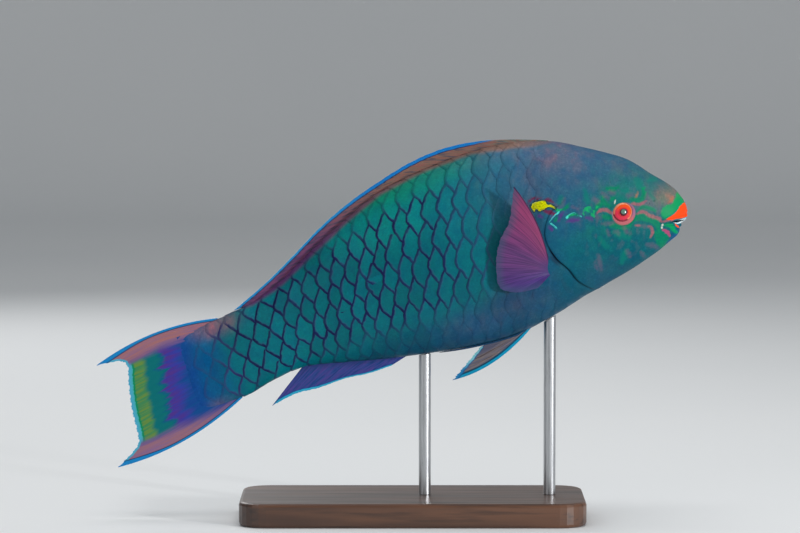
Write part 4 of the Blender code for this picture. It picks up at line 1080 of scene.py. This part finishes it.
def beak_material():
    nodes = Nodes("beak", roughness=0.18, coat=0.5, coat_roughness=0.05)
    where = nodes.place((1.0, 1.0, 1.0))
    cells = nodes.node("ShaderNodeTexVoronoi", feature="DISTANCE_TO_EDGE")
    nodes.put(cells.inputs["Vector"], where)
    cells.inputs["Scale"].default_value = 1100
    seams = nodes.step(cells.outputs["Distance"], 0.0, 0.12)
    # Painted shade: the teeth are white at the cutting edge and turn blue deeper in, toward the roots and on the
    # inner face
    tint = nodes.mix(nodes.step(nodes.number("deep"), 0.0, 1.0), tuple(srgb((238, 248, 247))),
                     tuple(srgb((120, 190, 214))))
    colour = nodes.mix(seams, nodes.mix(1.0, tint, (0.74, 0.8, 0.82), "MULTIPLY"), tint)
    nodes.bump(seams, 0.00008, 0.6)
    return nodes.finish(colour)


def jaw_point(t, v_of_u, out):
    """The point of the body at slice t whose height is given by v_of_u."""
    low, high = -1.5, 1.5
    for _ in range(30):
        angle = (low + high) / 2
        u, _y, v = muzzle(body(t, angle))
        if v < v_of_u(u):
            low = angle
        else:
            high = angle
    return muzzle(body_out(t, angle, out)[0])


def make_jaw(name, margin, bite, upper, finish):
    """One jaw's fused teeth: a curved plate with a thin cutting edge, from one corner round to the other."""
    stations = np.concatenate((np.linspace(3.3, 0.25, 26), np.linspace(0.1, -0.96, 12)))
    up = 1 if upper else -1
    rows = []
    shares = np.linspace(-0.25, 1, 9)
    for share in shares:
        def height(u, share=share):
            root, edge = table(u, margin), table(u, bite)
            return root + (edge - root) * share
        half = [jaw_point(t, height, -0.2 - 0.3 * share * share) for t in stations]
        rows.append(np.array(half))
    front = np.array(rows)
    scallop = 0.12 * np.abs(np.sin(np.arange(len(stations)) * 1.35))
    front[-1, :, 2] += up * scallop
    inner = front[::-1] * (1, 0.72, 1) + (1.1, 0, up * 0.1)
    whole = np.concatenate((front, inner, front[:1]))
    ring = np.concatenate((whole * (1, -1, 1), whole[:, -2::-1]), axis=1)
    made = grid_mesh(name, ring, reverse=upper)
    # How deep each row lies, for the teeth's blue painted shade
    deep = np.concatenate((1 - np.clip(shares, 0, 1), np.ones(len(shares)), (1.0,)))
    add_number(made, "deep", np.broadcast_to(deep[:, None], ring.shape[:2]))
    made.data.materials.append(finish)
    return made


MEMBRANE, RAY = 0.2, 0.46


def wrap(grid):
    """The values of a fin's one face, repeated for its other face."""
    return np.concatenate((grid, grid[::-1], grid[:1]), axis=0)


def line_distance(points, line):
    """How far points lie from a line of points."""
    best = np.full(points.shape[:-1], np.inf)
    for a, b in zip(line[:-1], line[1:]):
        along = b - a
        share = np.clip(((points - a) @ along) / max(along @ along, 1e-9), 0, 1)
        best = np.minimum(best, np.linalg.norm(points - a - share[..., None] * along, axis=-1))
    return best


def fin_sheet(name, rays, path, rows=30, per_ray=8, root=0.0, notch=0.02, branch=0.45, ray=RAY, reverse=False):
    """A closed fin of raised rays that fork towards their tips, with a thin membrane between them.

    path(a, b) gives points, with a across the rays and b out along them."""
    across = np.linspace(0, 1, (rays - 1) * per_ray + 1)[:, None]
    outward = (np.linspace(0, 1, rows) ** 0.9)[None]
    between = (across * (rays - 1)) % 1
    off = np.minimum(between, 1 - between)
    spread = 0.16 * ramp(outward, branch, 1.0)
    ridge = np.exp(-((off - spread) / 0.12) ** 2)
    a, b = np.broadcast_arrays(across, outward)
    reach = b * (1 - notch * (1 - ridge))
    middle = path(a, reach)
    step = 0.004
    over = path(np.clip(a + step, 0, 1), reach) - path(np.clip(a - step, 0, 1), reach)
    out = path(a, np.clip(reach + step, 0, 1)) - path(a, np.clip(reach - step, 0, 1))
    way = np.cross(over, out)
    way /= np.maximum(np.linalg.norm(way, axis=-1), 1e-9)[..., None]
    joints = 1 + 0.12 * np.sin(b * 150) * ramp(b, 0.2, 0.5)
    half = MEMBRANE + (ray - MEMBRANE) * ridge * (1 - 0.55 * b) * joints * np.minimum(1, 4 * b + 0.2)
    half = half + root * (1 - b) ** 3
    half *= 1 - 0.6 * ramp(b, 0.93, 1.0)
    half = half * (0.35 + 0.65 * np.minimum(ramp(a, 0, 0.012), ramp(a, 1, 0.988)))
    front = middle + way * half[..., None]
    back = middle - way * half[..., None]
    points = np.concatenate((front, back[::-1], front[:1]), axis=0)
    made = grid_mesh(name, points, reverse=reverse)
    add_number(made, "ray", wrap(ridge))
    add_number(made, "across", wrap(a))
    add_number(made, "out", wrap(b))
    long = np.linalg.norm(np.diff(middle, axis=1), axis=-1).sum(1)[:, None]
    add_number(made, "margin", wrap(line_distance(middle, middle[::2, -1])))
    add_number(made, "front", wrap(line_distance(middle, middle[0, ::3])))
    add_number(made, "rooted", wrap(long * b))
    return made


def ridge_point(u, top, out):
    """Points on the body's back or belly ridge at u."""
    column = 0 if top else 2
    slices = np.linspace(2, SKIN_END, 400)
    t = np.interp(u, spline(BODY_SLICES, slices)[:, column], slices)
    return body_out(t, np.full(np.shape(t), math.pi / 2 if top else -math.pi / 2), np.asarray(out, float))[0]


def curve(points):
    points = np.array(points, float)
    return lambda a: spline(points, np.asarray(a) * (len(points) - 1))


def flat_point(at):
    return np.stack((at[..., 0], np.zeros(at.shape[:-1]), at[..., 1]), -1)


DORSAL_EDGE = [(64.0, 66.3), (84.0, 73.0), (104.0, 77.9), (124.0, 79.6), (144.0, 77.5), (164.0, 72.4),
               (184.0, 66.0), (204.0, 57.4), (224.0, 46.3), (244.0, 35.8), (267.0, 25.8)]
ANAL_EDGE = [(189.0, -32.0), (203.0, -32.4), (217.0, -31.2), (233.0, -31.9), (247.0, -31.2), (262.4, -33.9)]


def median_path(base_u, edge, top, lean):
    edge_at = curve(edge)

    def path(a, b):
        base = ridge_point(base_u[0] + (base_u[1] - base_u[0]) * a, top, np.full(np.shape(a), -0.9))
        tip = flat_point(edge_at(a ** lean))
        return base + (tip - base) * b[..., None]

    return path


def streaks(nodes, fine=0.03, long=0.5):
    """Noise drawn out along the rays."""
    where = nodes.vector(nodes.math("MULTIPLY", nodes.number("across"), 1 / fine),
                         nodes.math("MULTIPLY", nodes.number("out"), 1 / long))
    return nodes.noise(1.0, 3.0, where)


def fin_base(name):
    nodes = Nodes(name, roughness=0.45, coat=0.04, coat_roughness=0.3, specular=0.1)
    return nodes, nodes.number("margin"), nodes.number("out"), nodes.number("ray"), nodes.number("across")


def tint(*values):
    return tuple(float(c) for c in srgb(values))


def dorsal_material():
    nodes, margin, out, ray, across = fin_base("dorsal_fin")
    streak = streaks(nodes, 0.014, 0.4)
    rear = nodes.step(across, 0.42, 0.8)
    colour = nodes.mix(rear, tint(120, 98, 84), tint(90, 56, 98))
    colour = nodes.mix(nodes.step(across, 0.2, 0.02), colour, tint(98, 126, 114))
    red = nodes.mix(rear, tint(130, 88, 82), tint(110, 64, 98))
    colour = nodes.mix(nodes.step(streak, 0.44, 0.6), colour, red)
    colour = nodes.mix(nodes.math("MULTIPLY", nodes.step(streak, 0.5, 0.38), 0.7), colour, tint(70, 62, 82))
    wobble = nodes.math("MULTIPLY_ADD", nodes.math("SUBTRACT", streak, 0.5), 0.6, margin)
    width = nodes.math("MULTIPLY_ADD", nodes.step(across, 0.05, 0.2), 2.1, -0.45)
    width = nodes.math("MULTIPLY_ADD", nodes.step(across, 0.45, 0.75), -0.65, width)
    inner = nodes.math("SUBTRACT", wobble, width)
    line = nodes.math("MULTIPLY", nodes.step(inner, 0.75, 0.3), nodes.step(across, 0.1, 0.2))
    colour = nodes.mix(line, colour, tint(18, 28, 70))
    colour = nodes.mix(nodes.step(inner, 0.3, -0.1), colour, nodes.mix(rear, tint(16, 112, 184), tint(30, 130, 190)))
    light = nodes.math("MULTIPLY", nodes.step(inner, -0.5, -0.9), nodes.step(across, 0.97, 0.8))
    colour = nodes.mix(nodes.math("MULTIPLY", light, rear), colour, tint(70, 160, 200))
    nodes.bump(streak, 0.00015, 0.4)
    return nodes.finish(colour)


def anal_material():
    nodes, margin, out, ray, across = fin_base("fin_violet")
    streak = streaks(nodes, 0.02, 0.5)
    colour = nodes.mix(nodes.step(streak, 0.42, 0.6), tint(34, 68, 132), tint(70, 62, 132))
    colour = nodes.mix(nodes.math("MULTIPLY", nodes.step(streak, 0.46, 0.36), 0.6), colour, tint(24, 40, 96))
    colour = nodes.mix(nodes.math("MULTIPLY", nodes.step(out, 0.35, 0.0), 0.6), colour, tint(32, 50, 98))
    rim = nodes.math("MULTIPLY_ADD", nodes.step(across, 0.3, 0.75), -0.6, margin)
    colour = nodes.mix(nodes.step(rim, 1.3, 0.9), colour, tint(20, 60, 130))
    bright = nodes.math("MULTIPLY", nodes.step(rim, 0.95, 0.5), nodes.step(across, 1.0, 0.93))
    colour = nodes.mix(bright, colour, tint(40, 156, 190))
    return nodes.finish(colour)


def pelvic_material():
    nodes, margin, out, ray, across = fin_base("pelvic_fin")
    streak = streaks(nodes, 0.09, 0.5)
    colour = nodes.mix(nodes.step(streak, 0.42, 0.6), tint(130, 118, 114), tint(98, 98, 118))
    colour = nodes.mix(nodes.math("MULTIPLY", nodes.step(streak, 0.44, 0.36), 0.7), colour, tint(60, 50, 72))
    front = nodes.number("front")
    colour = nodes.mix(nodes.step(front, 3.0, 2.2), colour, tint(16, 70, 96))
    colour = nodes.mix(nodes.step(front, 1.9, 1.4), colour, tint(10, 146, 186))
    rough = nodes.math("MULTIPLY_ADD", nodes.math("SUBTRACT", streak, 0.5), 1.6, margin)
    colour = nodes.mix(nodes.step(rough, 2.1, 1.5), colour, tint(30, 90, 150))
    bright = nodes.mix(nodes.step(across, 0.3, 0.7), tint(30, 130, 186), tint(140, 214, 226))
    colour = nodes.mix(nodes.step(rough, 1.6, 1.0), colour, bright)
    return nodes.finish(colour)


def folded_material():
    """The pelvic fin that lies against the belly, in the belly's own blue."""
    nodes, margin, out, ray, across = fin_base("folded_fin")
    streak = streaks(nodes, 0.12, 0.5)
    colour = nodes.mix(nodes.step(streak, 0.4, 0.62), tint(24, 66, 96), tint(34, 60, 92))
    colour = nodes.mix(nodes.step(out, 0.8, 1.0), colour, tint(16, 44, 66))
    return nodes.finish(colour)


def pectoral_material():
    nodes, margin, out, ray, across = fin_base("fin_plum")
    streak = streaks(nodes, 0.012, 0.7)
    broad = streaks(nodes, 0.07, 1.5)
    colour = nodes.mix(nodes.step(across, 0.05, 0.5), tint(116, 50, 88), tint(76, 48, 94))
    colour = nodes.mix(nodes.step(across, 0.5, 0.85), colour, tint(58, 40, 104))
    colour = nodes.mix(nodes.step(broad, 0.4, 0.62), colour, nodes.mix(1.0, colour, (1.3, 1.1, 1.12), "MULTIPLY"))
    colour = nodes.mix(nodes.step(streak, 0.44, 0.62), colour, nodes.mix(1.0, colour, (1.4, 1.3, 1.25), "MULTIPLY"))
    colour = nodes.mix(nodes.math("MULTIPLY", nodes.step(streak, 0.46, 0.36), 0.4), colour, tint(46, 30, 70))
    colour = nodes.mix(nodes.math("MULTIPLY", nodes.step(out, 0.3, 0.0), 0.7), colour, tint(60, 50, 104))
    colour = nodes.mix(nodes.math("MULTIPLY", nodes.step(margin, 6.0, 0.0), 0.6), colour, tint(56, 76, 104))
    colour = nodes.mix(nodes.math("MULTIPLY", nodes.step(nodes.number("front"), 1.0, 0.5), 0.85), colour,
                       tint(34, 26, 62))
    return nodes.finish(colour)


def tail_material():
    """Bands across the tail fin by distance from its rear margin, between salmon outer bands."""
    nodes, margin, out, ray, across = fin_base("tail_fin")
    streak, broad = streaks(nodes, 0.016, 0.35), streaks(nodes, 0.06, 1.2)
    fingers = nodes.math("MULTIPLY", nodes.math("SUBTRACT", broad, 0.5), 22.0)
    fingers = nodes.math("MULTIPLY_ADD", nodes.math("SUBTRACT", streak, 0.5), 9.0, fingers)
    far = nodes.math("ADD", margin, fingers)
    half = nodes.math("MULTIPLY_ADD", fingers, 0.35, margin)
    colour = nodes.mix(nodes.step(streak, 0.4, 0.6), tint(8, 74, 136), tint(14, 66, 136))
    violet = nodes.mix(nodes.step(streak, 0.4, 0.6), tint(44, 60, 152), tint(64, 52, 140))
    purple = nodes.mix(nodes.step(streak, 0.4, 0.6), tint(56, 54, 148), tint(76, 48, 130))
    colour = nodes.mix(nodes.step(far, 36.0, 27.0), colour, violet)
    colour = nodes.mix(nodes.step(far, 29.0, 25.0), colour, purple)
    colour = nodes.mix(nodes.step(far, 22.6, 19.6), colour, tint(0, 90, 120))
    colour = nodes.mix(nodes.step(far, 20.0, 17.0), colour, tint(0, 104, 108))
    olive = nodes.mix(nodes.step(streak, 0.4, 0.6), tint(62, 128, 80), tint(98, 134, 62))
    colour = nodes.mix(nodes.step(half, 12.2, 8.2), colour, olive)
    calm = nodes.math("MULTIPLY_ADD", nodes.math("SUBTRACT", streak, 0.5), 1.2, margin)
    colour = nodes.mix(nodes.step(calm, 4.0, 2.9), colour, tint(0, 130, 84))
    colour = nodes.mix(nodes.step(calm, 2.6, 1.9), colour, tint(66, 166, 178))
    rim = nodes.number("rim")
    inside = nodes.math("SUBTRACT", rim, nodes.number("salmon"))
    inside = nodes.math("MULTIPLY_ADD", nodes.math("SUBTRACT", streak, 0.5), 4.0, inside)
    salmon = nodes.mix(nodes.step(streak, 0.42, 0.62), tint(156, 104, 106), tint(140, 100, 124))
    salmon = nodes.mix(nodes.step(across, 0.4, 0.6), salmon, nodes.mix(1.0, salmon, (0.86, 0.96, 1.2), "MULTIPLY"))
    salmon = nodes.mix(nodes.step(inside, -4.5, 0.5), salmon, tint(98, 82, 134))
    colour = nodes.mix(nodes.step(inside, 2.4, -1.8), colour, salmon)
    lobe = nodes.math("MULTIPLY_ADD", nodes.math("SUBTRACT", streak, 0.5), 0.8, margin)
    colour = nodes.mix(nodes.step(lobe, 1.5, 0.9), colour, tint(70, 160, 190))
    thick = nodes.math("MULTIPLY_ADD", nodes.step(out, 0.55, 1.0), -1.1, rim)
    colour = nodes.mix(nodes.step(thick, 1.9, 1.4), colour, tint(14, 44, 88))
    colour = nodes.mix(nodes.step(thick, 1.4, 1.0), colour, tint(20, 124, 186))
    return nodes.finish(colour)


TAIL_MARGIN = [(353.1, 18.9), (339.6, 17.4), (335.8, 13.2), (337.8, 5.0), (339.6, -3.6), (340.8, -10.6),
               (341.4, -17.6), (341.9, -24.8), (343.2, -31.4), (348.6, -35.8), (359.1, -41.4)]
TAIL_BOW = [5.4, 2.0, 0.2, -1.0, -5.6]
TAIL_ROOT_HALF = 4.6


def make_tail(finish):
    base_u = float(spline(BODY_SLICES, BODY_END)[0]) + 0.5
    top_v, low_v = (float(spline(BODY_SLICES, BODY_END)[i]) for i in (1, 3))
    margin, bow = curve(TAIL_MARGIN), curve([(b,) for b in TAIL_BOW])

    def path(a, b):
        start = np.stack((np.full(a.shape, base_u), np.zeros(a.shape), top_v + (low_v - top_v) * a), -1)
        tip = flat_point(margin(a))
        bend = np.zeros(start.shape)
        bend[..., 2] = bow(a)[..., 0] * 4 * b * (1 - b)
        return start + (tip - start) * b[..., None] + bend

    rays, rows, per_ray = 17, 60, 10
    tail = fin_sheet("tail_fin", rays, path, rows=rows, per_ray=per_ray, notch=0.012)
    across = np.linspace(0, 1, (rays - 1) * per_ray + 1)[:, None]
    out = (np.linspace(0, 1, rows) ** 0.9)[None]
    a, b = np.broadcast_arrays(across, out)
    here = path(a, b)
    outer = np.minimum(line_distance(here, here[0]), line_distance(here, here[-1]))
    wide = np.where(a < 0.5, table(b, [(0, 5.0), (0.2, 8.0), (0.5, 10.4), (1, 10.0)]),
                    table(b, [(0, 2.0), (0.25, 5.0), (0.6, 9.4), (1, 10.4)]))
    add_number(tail, "rim", wrap(outer))
    add_number(tail, "salmon", wrap(wide))
    tail.data.materials.append(finish)
    return tail


PECTORAL_TIPS = [(90.7, 48.7), (94.7, 39.4), (99.6, 29.5), (106.7, 22.1), (111.6, 14.0), (114.7, 4.7),
                 (115.4, -5.3), (106.4, -10.9), (94.7, -11.9)]
PECTORAL_ROOT = [(84.2, -0.6), (85.6, -7.6)]


def make_pectoral(side, name, finish):
    tips = curve(PECTORAL_TIPS)
    first, last = (body_out(*FLANK.at(*at), -1.2)[0] for at in PECTORAL_ROOT)

    def path(a, b):
        root = first + (last - first) * a[..., None]
        at = tips(a)
        tip = np.stack((at[..., 0], root[..., 1] + 12.0 - 6.5 * a, at[..., 1]), -1)
        bow = np.stack((-3.4 * (1 - a), np.full(a.shape, 1.5), 0.5 * (1 - a)), -1)
        return (root + (tip - root) * b[..., None] + bow * (4 * b * (1 - b))[..., None]) * (1, side, 1)

    fin = fin_sheet(name, 14, path, rows=40, per_ray=12, root=0.35, notch=0.012, branch=0.25,
                    ray=0.25, reverse=side == RIGHT)
    fin.data.materials.append(finish)
    return fin


def pelvic_root(a):
    slices = np.linspace(2, SKIN_END, 400)
    t = np.interp(101.0 + 6.0 * a, spline(BODY_SLICES, slices)[:, 2], slices)
    return t, np.radians(-78 - 7 * a)


def make_lowered_pelvic(side, name, finish):
    tip, inner = np.array((158.2, 16.0, -52.2)), np.array((136.5, 12.0, -38.0))

    def path(a, b):
        t, angle = pelvic_root(a)
        root = body_out(t, angle, np.full(a.shape, -1.2))[0]
        end = tip + (inner - tip) * (a ** 1.2)[..., None]
        bow = np.zeros(root.shape)
        bow[..., 2] = -5.8 * (1 - a) * 4 * b * (1 - b)
        return (root + (end - root) * b[..., None] + bow) * (1, side, 1)

    fin = fin_sheet(name, 6, path, rows=50, per_ray=20, root=0.3, notch=0.02)
    fin.data.materials.append(finish)
    return fin


def make_folded_pelvic(side, name, finish):
    slices = np.linspace(2, SKIN_END, 400)
    belly_u = spline(BODY_SLICES, slices)[:, 2]

    def path(a, b):
        t, angle = pelvic_root(a)
        tip_t = np.interp(161.0 + (138.0 - 161.0) * a ** 1.3, belly_u, slices)
        tip_angle = np.radians(-80 - 8 * a)
        lift = -1.2 + 1.25 * np.minimum(1, 5 * b) + 0.3 * b * (1 - a)
        return body_out(t + (tip_t - t) * b, angle + (tip_angle - angle) * b, lift)[0] * (1, side, 1)

    fin = fin_sheet(name, 6, path, rows=40, per_ray=12, notch=0.03, reverse=True)
    fin.data.materials.append(finish)
    return fin


def wood_material():
    nodes = Nodes("stand_wood", roughness=0.35, coat=0.25, coat_roughness=0.2)
    grain = nodes.noise(0.004, 4.0, nodes.place((0.06, 1.0, 1.0)))
    rings = nodes.noise(0.018, 3.0, nodes.place((0.12, 1.0, 1.0)))
    colour = nodes.mix(nodes.step(rings, 0.35, 0.65), tint(66, 42, 30), tint(98, 64, 44))
    colour = nodes.mix(nodes.math("MULTIPLY", nodes.step(grain, 0.5, 0.68), 0.6), colour, tint(38, 24, 18))
    nodes.bump(grain, 0.0001, 0.4)
    return nodes.finish(colour, nodes.math("MULTIPLY_ADD", grain, 0.25, 0.25))


def steel_material():
    nodes = Nodes("stand_steel", roughness=0.3)
    nodes.shader.inputs["Metallic"].default_value = 1.0
    lines = nodes.noise(0.0004, 2.0, nodes.place((1.0, 1.0, 0.03)))
    colour = nodes.mix(lines, tint(150, 152, 156), tint(206, 208, 210))
    nodes.bump(lines, 0.00002, 0.4)
    return nodes.finish(colour, nodes.math("MULTIPLY_ADD", lines, 0.2, 0.2))


def area_light(name, where, aim, size, power, colour=(1, 1, 1)):
    light = bpy.data.lights.new(name, "AREA")
    light.energy, light.size, light.color = power, size, colour
    lamp = bpy.data.objects.new(name, light)
    lamp.location = where
    lamp.rotation_euler = (Vector(aim) - Vector(where)).to_track_quat("-Z", "Y").to_euler()
    bpy.context.scene.collection.objects.link(lamp)


def make_studio():
    """A pale floor that curves up into a backdrop, soft lights and a plain world."""
    bend_y, bend = 3.0, 0.8
    profile = [(-12.0, 0.0), (bend_y, 0.0)]
    turn = np.radians(np.linspace(8, 90, 12))
    profile += [(bend_y + bend * math.sin(a), bend - bend * math.cos(a)) for a in turn]
    profile.append((bend_y + bend, 4.0))
    mesh = bpy.data.meshes.new("studio_floor")
    verts = [(x, y, z) for y, z in profile for x in (-12.0, 12.0)]
    faces = [(2 * i, 2 * i + 1, 2 * i + 3, 2 * i + 2) for i in range(len(profile) - 1)]
    mesh.from_pydata(verts, [], faces)
    mesh.shade_smooth()
    floor = bpy.data.objects.new("studio_floor", mesh)
    bpy.context.scene.collection.objects.link(floor)
    nodes = Nodes("studio_paper", roughness=0.8, specular=0.2)
    colour = nodes.mix(nodes.noise(0.5, 2.0), tint(232, 234, 235), tint(238, 239, 239))
    mesh.materials.append(nodes.finish(colour))

    world = bpy.data.worlds.new("studio")
    world.use_nodes = True
    background = world.node_tree.nodes["Background"]
    background.inputs["Color"].default_value = (0.92, 0.96, 1.0, 1)
    background.inputs["Strength"].default_value = 0.3
    bpy.context.scene.world = world
    aim = (0.0, 0.0, 0.15)
    area_light("key", (1.3, -1.2, 0.3), aim, 0.14, 20)
    area_light("fill", (-1.1, -1.3, 0.6), aim, 1.2, 3.5)
    area_light("top", (0.1, 0.0, 1.5), aim, 1.0, 10)
    area_light("back", (-0.5, 1.3, 0.8), aim, 0.8, 4)


def make_camera():
    """The photograph's own view: level with the fish, a little above it, square on to its right flank."""
    azimuth, elevation, distance = math.radians(0), math.radians(4), 2.4
    target = Vector((0.0047, 0.0, 0.1470))
    width_seen, sensor = 0.464, 36.0
    toward = Vector((math.sin(azimuth) * math.cos(elevation), math.cos(azimuth) * math.cos(elevation),
                     -math.sin(elevation)))
    data = bpy.data.cameras.new("camera")
    data.sensor_width, data.lens = sensor, sensor * distance / width_seen
    data.clip_start, data.clip_end = 0.05, 50
    camera = bpy.data.objects.new("camera", data)
    camera.location = target - toward * distance
    camera.rotation_euler = toward.to_track_quat("-Z", "Y").to_euler()
    bpy.context.scene.collection.objects.link(camera)
    bpy.context.scene.camera = camera
    bpy.context.scene.view_settings.view_transform = "Standard"


def settle(piece, slot, *nodes):
    """Fixes a piece to the still body and hides the CAD nodes that it stands for. Its slot argument is not used."""
    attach(piece, "root")
    if nodes:
        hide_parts(*nodes)


def main():
    make_camera()
    make_studio()
    settle(make_skin(), "head_skin", "head", "trunk", "peduncle", "gill_cover_right", "gill_cover_left")
    finish = scale_material()
    for side, name in ((RIGHT, "scales_right"), (LEFT, "scales_left")):
        settle(make_scales(side, name, finish), "scaled_skin")
    finish = ball_material()
    for side, name in ((RIGHT, "eye_right"), (LEFT, "eye_left")):
        settle(make_eye(side, f"{name}_ball", finish), "eye", name)
    finish = beak_material()
    settle(make_jaw("teeth_upper", UPPER_MARGIN, UPPER_BITE, True, finish), "beak", "beak_upper")
    settle(make_jaw("teeth_lower", LOWER_MARGIN, LOWER_BITE, False, finish), "beak", "beak_lower")

    dorsal = fin_sheet("dorsal_sheet", 19, median_path((61.0, 257.0), DORSAL_EDGE, True, 0.8), rows=22,
                       per_ray=10, root=0.5)
    dorsal.data.materials.append(dorsal_material())
    settle(dorsal, "dorsal_fin", "dorsal_fin")
    anal = fin_sheet("anal_sheet", 12, median_path((178.0, 238.0), ANAL_EDGE, False, 0.8), rows=18,
                     per_ray=10, root=0.4, reverse=True)
    anal.data.materials.append(anal_material())
    settle(anal, "fin_violet", "anal_fin")
    settle(make_tail(tail_material()), "fin_violet", "caudal_fin_upper", "caudal_fin_lower")
    finish = pectoral_material()
    for side, name in ((RIGHT, "pectoral_fin_right"), (LEFT, "pectoral_fin_left")):
        settle(make_pectoral(side, f"{name}_sheet", finish), "fin_plum", name)
    finish = pelvic_material()
    settle(make_lowered_pelvic(LEFT, "pelvic_left_sheet", finish), "dorsal_fin", "pelvic_fin_left")
    settle(make_folded_pelvic(RIGHT, "pelvic_right_sheet", folded_material()), "dorsal_fin", "pelvic_fin_right")

    wood, steel = wood_material(), steel_material()
    for name, finish in (("stand_base", wood), ("stand_rod_front", steel), ("stand_rod_rear", steel)):
        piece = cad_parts[name]
        for slot in piece.material_slots:
            slot.material = finish


main()
